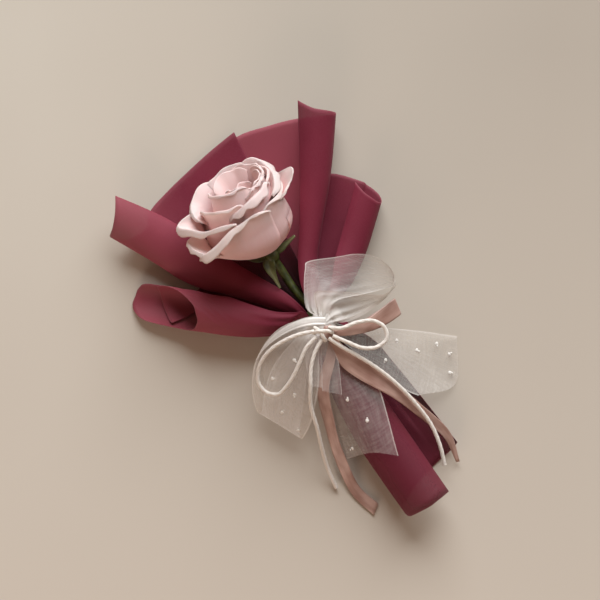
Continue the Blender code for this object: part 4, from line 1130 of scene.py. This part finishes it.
# Ribbons. A run of ribbon is a few lines from edge to edge, each the points that it passes.
ORGANZA_UPPER_LOOP = (
    [
        (1, -1, 30.4), (-2.4, 7.4, 29.6), (2.5, 17, 28), (9.6, 26.2, 25.6), (13.6, 28.6, 24.4),
        (26.9, 22.1, 24.8), (36.9, 17.2, 24.6), (44.4, 10.6, 25), (48.4, 1, 27.6), (46.4, -7, 31.6),
        (37.5, -10.4, 35), (25.8, -1.5, 36.6), (13.9, 8.4, 36), (5.8, 12.2, 34.2), (0.6, 1, 31),
    ],
    [
        (3.4, -4, 29.8), (7, -1, 29.4), (11, 1.6, 28.4), (16, 1.4, 27.2), (21, -0.6, 25.6),
        (28, -3.6, 23), (35, -6.4, 20.4), (41, -8.4, 19.8), (45.4, -9.4, 20.8), (44.6, -10, 24),
        (37.6, -12, 27), (29.5, -12.8, 29.4), (20, -12.6, 31), (11, -10.2, 31.6), (4, -5.6, 31),
    ],
)
ORGANZA_LEFT_LOOP = (
    [
        (-1, 0, 30.6), (-13.9, 6.6, 31.6), (-27.3, 6.8, 30), (-41.2, 0.6, 25), (-51, -9.4, 19),
        (-56.3, -20.5, 13.5), (-55.4, -25, 10), (-48, -17, 9.6), (-36, -8, 12.5), (-23, -3.6, 18.5),
        (-12, -2.2, 24.6), (-3, -2, 28.6),
    ],
    [
        (-5, -9, 30.6), (-12, -18, 31), (-20.2, -29.6, 29.6), (-28.6, -38.4, 25.4), (-36.9, -45.4, 19),
        (-44.6, -49.3, 13), (-45.4, -47, 9.4), (-39.6, -40, 8.8), (-31, -31, 11), (-22, -21, 16.6),
        (-13, -12.4, 23.6), (-4.6, -7, 28.6),
    ],
)
ORGANZA_FRONT_TAIL = (
    [(-4, -8, 29.4), (-13, -19, 27), (-21.5, -36, 21.4), (-29, -54.2, 11.2), (-32.2, -72.5, 7.2)],
    [(-0.6, -8.6, 29.4), (-6, -20.5, 28.4), (-9.5, -36, 26.8), (-12, -52, 26.2), (-18.4, -77.6, 23)],
    [(3, -9, 29.4), (1.6, -22, 28.6), (3.6, -36, 26.8), (6.4, -48, 26), (-7.2, -87.4, 26.4)],
)
ORGANZA_RIGHT_TAIL = (
    [
        (3, -3, 29), (9, -11, 27), (17.5, -19.6, 21.6), (27.5, -26, 15), (41.9, -38, 6.4),
        (56.9, -52, 1.6),
    ],
    [
        (2, -5.6, 29), (7, -14.4, 26.8), (15, -26.6, 22.2), (24.5, -39, 14.8), (33, -56, 5.8),
        (41, -73, 1.2),
    ],
    [
        (1, -8.4, 29), (4, -20, 27), (8, -34, 25.2), (12.4, -48, 21.2), (16.6, -60, 15),
        (20.6, -66.5, 12),
    ],
)
# The lines of each run, with its steps along and across.
ORGANZA_RUNS = {
    "upper_loop": (ORGANZA_UPPER_LOOP, 24, 3),
    "left_loop": (ORGANZA_LEFT_LOOP, 20, 3),
    "front_tail": (ORGANZA_FRONT_TAIL, 9, 4),
    "right_tail": (ORGANZA_RIGHT_TAIL, 10, 4),
}
# The two short ends that hang over the tail, and the loops' edges that are folded double.
ORGANZA_FOLDS = {
    "upper_hem": (
        (
            [
                (44.8, -10.2, 24.2), (37.6, -12.2, 27.2), (29.5, -13, 29.6), (20, -12.8, 31.2),
                (11, -10.4, 31.8), (4, -5.8, 31.2),
            ],
            [
                (44.9, -9.4, 27.4), (37.3, -11, 30.4), (28.9, -10.8, 31.3), (19.3, -10.2, 32),
                (10.4, -7.8, 32.2), (3.2, -3.6, 31.4),
            ],
        ),
        10, 1,
    ),
    "left_tab": (
        (
            [(-6.5, -4.8, 31.2), (-11.7, -5.9, 32.2), (-18.7, -15.1, 32.4), (-25.6, -27.8, 31)],
            [(-1.5, -7.5, 31.4), (-6.2, -9.8, 32.9), (-11.9, -19.9, 33), (-20.2, -32.7, 31.2)],
        ),
        8, 2,
    ),
    "right_tab": (
        (
            [(-1.5, -8, 31), (-6, -10.5, 32), (-9.4, -16.4, 32.6), (-21, -34.3, 31.4)],
            [(1, -9, 31), (-2.7, -17.3, 32.5), (-4.9, -26.8, 33), (-13.4, -42.2, 31.6)],
        ),
        8, 2,
    ),
    "left_band": (
        (
            [
                (4, -1.6, 32.4), (-4, 3.6, 33), (-13.4, 6.2, 33), (-24, 6.6, 31.8), (-34, 4.2, 29.2),
                (-41, 0.9, 26.2),
            ],
            [
                (1, -5.6, 33), (-5, -1.6, 34.2), (-12.4, 1.6, 34.2), (-22.6, 3.4, 32.9),
                (-33.6, 3, 29.9), (-40.9, 0.4, 26.6),
            ],
        ),
        12, 2,
    ),
}
# Finish, where 1 is the organza with painted shade, pleats, their depth and reach, gathered at both ends,
# and least density.
ORGANZA_LOOKS = {
    "upper_loop": (0, 4, 1.3, 12, True, 0),
    "left_loop": (0, 5, 1, 9, True, 0),
    "front_tail": (1, 4, 0.6, 9, False, 0),
    "right_tail": (0, 3, 0.6, 6, False, 0),
    "left_tab": (1, 3, 0.5, 5, False, 0.05),
    "right_tab": (1, 3, 0.5, 4, False, 0),
    "left_band": (0, 2, 0.3, 20, False, 0.45),
    "upper_hem": (0, 2, 0.1, 4, False, 0.55),
}
# Where dots lie, seen from above.
ORGANZA_DOTS = {
    "left_loop": [(-34.8, -26.5), (-45.8, -30.9), (-44.4, -44), (-24.3, -12), (-40, -12.4)],
    "front_tail": [(-13, -46), (-21.2, -34), (-10.5, -61.6), (-27.2, -52), (-26, -69)],
    "right_tail": [(17, -40), (28.7, -35.1), (35, -46), (44.6, -49.2), (42, -66), (48, -58)],
}
DOT_RADIUS = 1.0
DOT_HEIGHT = 0.28
DOT_LIFT = 0.1
DOT_STEPS = (12, 6)
DOT_WOBBLE = 0.12
# How much a dot prefers the upper of two layers.
DOT_PREFERS_TOP = 0.15
# The smaller dot beside each: its distance and size in radii, and how its side changes with x and y.
DOT_BESIDE = 1.3
DOT_SMALLER = 0.55
DOT_SIDE = (3.1, 1.7)
# A direction that no dot's normal has.
ODD_WAY = (0.31, 0.17, 0.93)
# The turn round the neck: radius, first and last angle, near and far end.
ORGANZA_BAND = (12.1, 100.0, 440.0, -7.2, -0.4)
BAND_STEPS = (66, 8)
# Reach, gathered at both ends, and least density.
BAND_LOOKS = (5.0, False, 0.6)
KNOT_LOOKS = (5.0, False, 0.55)
# Each knot's middle, half sizes, folds and their depth.
ORGANZA_KNOT = ((-0.6, -4.6, 29.9), (8.6, 7.4, 3.0), 13, 0.12)
SATIN_KNOT = ((0.4, -9.8, 34.2), (4.4, 3.9, 0.9), 9, 0.08)
KNOT_STEPS = (64, 32)
SATIN_LOOP = (
    [
        (1, -7, 34), (10, -12.4, 33.6), (21.3, -15.8, 32), (32, -15.6, 29.6), (39.8, -15.2, 27.2),
        (39.6, -16, 25), (29, -15.6, 25.4), (16, -14.6, 28), (4, -9.6, 33.4),
    ],
    [
        (-1, -12, 34), (10, -18.6, 33), (21, -23, 30.4), (30, -24.6, 27.8), (37.9, -24.6, 25.6),
        (37.6, -23.6, 23.4), (27, -23, 23.6), (14, -19, 26.6), (1, -12, 33.4),
    ],
)
SATIN_RIGHT_TAIL = (
    [
        (-1.6, -10, 34), (-3.2, -19, 31.8), (-4.6, -28.7, 30.5), (-1, -40, 28.8), (5.4, -52.7, 27.4),
        (10, -63, 22.4), (15.5, -80.5, 13), (19, -94, 9.6), (16.8, -108.4, 3.4),
    ],
    [
        (2, -9.4, 34), (2.6, -19.7, 32.2), (7, -31, 29.6), (11.5, -43, 26.6), (15.4, -57, 21.8),
        (19, -70.1, 16.6), (23.6, -92.4, 10), (18.6, -109.4, 3.2),
    ],
)
SATIN_LEFT_TAIL = (
    [
        (0, -10.6, 33.4), (-3, -14.4, 31), (-8.6, -19.4, 29.2), (-14.6, -24.2, 28),
        (-20.2, -29.6, 26.4), (-25.4, -36, 22.8), (-30.4, -49, 15.6), (-34.6, -61, 10.8),
        (-38.2, -74, 5), (-40.4, -91, 1.2), (-37, -106.4, 1),
    ],
    [
        (2.6, -13, 33.4), (0.4, -18, 31.2), (-5, -24, 29.8), (-10.4, -28.8, 28.8), (-15.6, -33.4, 27.4),
        (-19.8, -39.4, 25.4), (-24.4, -50, 20.5), (-28.8, -61, 14.6), (-31.8, -73, 9.2),
        (-34.4, -88.5, 1.6), (-31.3, -102.7, 1),
    ],
)
SATIN_RUNS = {
    "loop": (SATIN_LOOP, 16, 2),
    "right_tail": (SATIN_RIGHT_TAIL, 12, 2),
    "left_tail": (SATIN_LEFT_TAIL, 12, 2),
}
# Finer steps for each step of a run: along, and across the organza and the satin.
LENGTH_DETAIL = 6
ORGANZA_DETAIL = 10
SATIN_DETAIL = 5
# How a ribbon's gathers drift, and how steeply organza thins out beyond them.
GATHER_DRIFT = (1.3, 7.0)
GATHER_POWER = 1.5
# How dense organza looks where it is seen edge on, and how soon that fades.
EDGE_ON = (0.85, 1.8)


def ribbon_places(lines, length_steps, width_steps):
    """The smooth surface from the first of lines to the last."""
    sides = [smooth_at(even(len(line) - 1), line, even(length_steps)) for line in lines]
    return smooth_at(even(len(lines) - 1), sides, even(width_steps))


def from_gather(places, both):
    """How far each point is from the ribbon's start, or from the nearer of its two ends."""
    along = arc_lengths(places, 1)
    return np.minimum(along, along[:, -1:] - along) if both else along


def organza_looks(places, reach, both, least=0.0):
    """The second uv of organza: how tightly it is gathered or folded, and the share across it."""
    near = from_gather(places, both)
    most, power = EDGE_ON
    folded = most * (1.0 - np.abs(normals_of(places)[..., 2])) ** power
    density = np.maximum(np.maximum(np.exp(-((near / reach) ** GATHER_POWER)), folded), least)
    return np.stack([density, across_share(places) * np.ones_like(near)], axis=-1)


def dot_places(centre, normal, radius):
    """A small flat lump with an uneven outline."""
    first = np.cross(normal, ODD_WAY)
    first /= np.linalg.norm(first)
    turn, tilt = ball_angles(*DOT_STEPS)
    wobble = radius * (1.0 + DOT_WOBBLE * np.sin(3 * turn + centre[0]))
    out = (wobble * np.sin(tilt))[..., None] * spokes(turn, first, np.cross(normal, first))
    return centre + out + DOT_HEIGHT * np.cos(tilt)[..., None] * normal


def dots_on(places, spots, radius):
    """Small flocked dots on the side of a ribbon that faces up, at spots."""
    normal = normals_of(places)
    dots = []
    for x, y in spots:
        away = np.hypot(places[..., 0] - x, places[..., 1] - y) - DOT_PREFERS_TOP * places[..., 2]
        found = np.unravel_index(np.argmin(away), away.shape)
        up = normal[found] * (1.0 if normal[found][2] > 0 else -1.0)
        centre = places[found] + DOT_LIFT * up
        dots.append(dot_places(centre, up, radius))
        turn = np.dot(DOT_SIDE, (x, y))
        beside = np.array([math.cos(turn), math.sin(turn), 0.0]) * radius * DOT_BESIDE
        dots.append(dot_places(centre + beside, up, radius * DOT_SMALLER))
    return dots


def pad_places(centre, radii, pleats, depth):
    """A pulled knot: a rounded lump with folds across it."""
    turn, tilt = ball_angles(*KNOT_STEPS)
    ball = np.stack([np.cos(turn) * np.sin(tilt), np.sin(turn) * np.sin(tilt), np.cos(tilt)], -1)
    fold = 1.0 + depth * np.sin(pleats * turn) * np.sin(tilt) ** 2
    return np.array(centre) + ball * np.array(radii) * fold[..., None]


def band_places():
    """The organza's turn round the neck."""
    radius, start, stop, near, far = ORGANZA_BAND
    turns, rows = BAND_STEPS
    ys = np.linspace(near, far, rows + 1)
    return np.array([[neck_point(radius, a, y) for y in ys] for a in np.linspace(start, stop, turns + 1)])


def make_organza():
    """The organza ribbon, its dots and its knot."""
    parts, dots = [], []
    for name, (lines, length_steps, width_steps) in {**ORGANZA_RUNS, **ORGANZA_FOLDS}.items():
        slot, pleats, depth, reach, both, least = ORGANZA_LOOKS[name]
        places = ribbon_places(lines, length_steps * LENGTH_DETAIL, width_steps * ORGANZA_DETAIL)
        lift = depth * np.exp(-from_gather(places, both) / reach)
        places = gathered(places, pleats, GATHER_DRIFT, lift)
        parts.append((places, grid_uv(places), slot, organza_looks(places, reach, both, least)))
        dots += dots_on(places, ORGANZA_DOTS.get(name, []), DOT_RADIUS)
    band = band_places()
    parts.append((band, grid_uv(band), 0, organza_looks(band, *BAND_LOOKS)))
    piece = add_piece("organza", parts, [finishes["organza"], finishes["organza_painted_shade"]])
    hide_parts("organza_ribbon")
    spots = add_piece("organza_dots", [(dot, share_uv(dot), 0) for dot in dots], [finishes["dot"]])
    knot = pad_places(*ORGANZA_KNOT)
    part = (knot, grid_uv(knot), 0, organza_looks(knot, *KNOT_LOOKS))
    lump = add_piece("organza_knot", [part], [finishes["organza"]])


def make_satin():
    """The satin ribbon and its knot."""
    parts = []
    for lines, length_steps, width_steps in SATIN_RUNS.values():
        places = ribbon_places(lines, length_steps * LENGTH_DETAIL, width_steps * SATIN_DETAIL)
        parts.append((places, grid_uv(places), 0))
    piece = add_piece("satin", parts, [finishes["satin"]], SATIN)
    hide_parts("satin_ribbon")
    knot = pad_places(*SATIN_KNOT)
    lump = add_piece("satin_knot", [(knot, grid_uv(knot), 0)], [finishes["satin"]])


# The cord bow. Each route starts beside its knot.
CORD_RIGHT_LOOP = [
    (1.6, -7.4, 37.6), (6.4, -11.4, 38), (17, -14.6, 37.6), (24.3, -19, 36), (27, -25.5, 34.6),
    (24.6, -30.8, 34), (18.4, -31.8, 34.4), (11.2, -28, 35.6), (5.6, -20, 37), (1, -12.6, 37.6),
]
CORD_LEFT_LOOP = [
    (-5.8, -4.8, 37.1), (-14.1, -1.3, 36.6), (-24, 0.6, 34.6), (-34, 0.2, 31), (-43, -4.4, 26.4),
    (-47.4, -11, 23.6), (-46.6, -17.4, 23.2), (-42.4, -21.6, 24.8), (-35, -20.6, 28.6),
    (-28.4, -17.8, 31.6), (-21, -13.4, 34.4), (-14, -9.4, 36.4), (-6.6, -7.9, 37),
]
CORD_LEFT_TAIL = [
    (-5, -10.9, 36.8), (-11.4, -14, 36.2), (-18.6, -20, 35), (-24.6, -28, 33.4), (-30.8, -37, 28),
    (-35, -49, 22), (-39.4, -60, 14), (-42.8, -70, 7), (-45.3, -82.4, 1.8),
]
CORD_RIGHT_TAIL = [
    (-1.6, -12.4, 37), (1, -19, 36), (5.2, -28, 33.4), (9.2, -37, 31), (12.4, -46, 28.4),
    (15.4, -58, 24.6), (17, -70, 20), (17.2, -85, 14.6), (14.4, -97, 12), (10.7, -106.2, 9.6),
]
CORD_ROUTES = {
    "cord_right_loop": (CORD_RIGHT_LOOP, 22),
    "cord_left_loop": (CORD_LEFT_LOOP, 28),
    "cord_left_tail": (CORD_LEFT_TAIL, 20),
    "cord_right_tail": (CORD_RIGHT_TAIL, 22),
}
# The two turns of cord over the middle of the bow.
CORD_WRAPS = [
    [
        (-6.4, -5.6, 35.4), (-5.6, -5.4, 37.4), (-3.2, -6.6, 38.9), (-0.2, -8.6, 38.6),
        (1.6, -10.4, 36.8), (1.8, -11.2, 35.2),
    ],
    [
        (-4.6, -3.4, 35.4), (-4.2, -4.2, 37.3), (-3.4, -7, 38.4), (-3.6, -10.6, 38),
        (-3.8, -12.2, 36.2), (-3.8, -12.4, 35.2),
    ],
]
WRAP_POINTS = 40
CORD_DETAIL = 9
CORD_YARNS = {"sides": 24, "ridges": 3, "depth": 0.16, "twist": 1.5}


def make_cords():
    """The bow's two loops, its two tails and its knot."""
    for name, (points, count) in CORD_ROUTES.items():
        route = smooth_route(points, count * CORD_DETAIL)
        places, uv = tube_grid(route, CORD / 2, **CORD_YARNS)
        piece = add_piece(name.replace("cord_", "bow_"), [(places, uv, 0)], [finishes["cord"]])
        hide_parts(name)
    wraps = [tube_grid(smooth_route(wrap, WRAP_POINTS), CORD / 2, **CORD_YARNS) for wrap in CORD_WRAPS]
    lump = add_piece("bow_knot", [(*wrap, 0) for wrap in wraps], [finishes["cord"]])
    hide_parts("cord_knot")


picture_axes = make_camera()
make_cords()
make_studio(picture_axes)
make_paper()
make_rose()
make_stem()
make_organza()
make_satin()
make_tape()
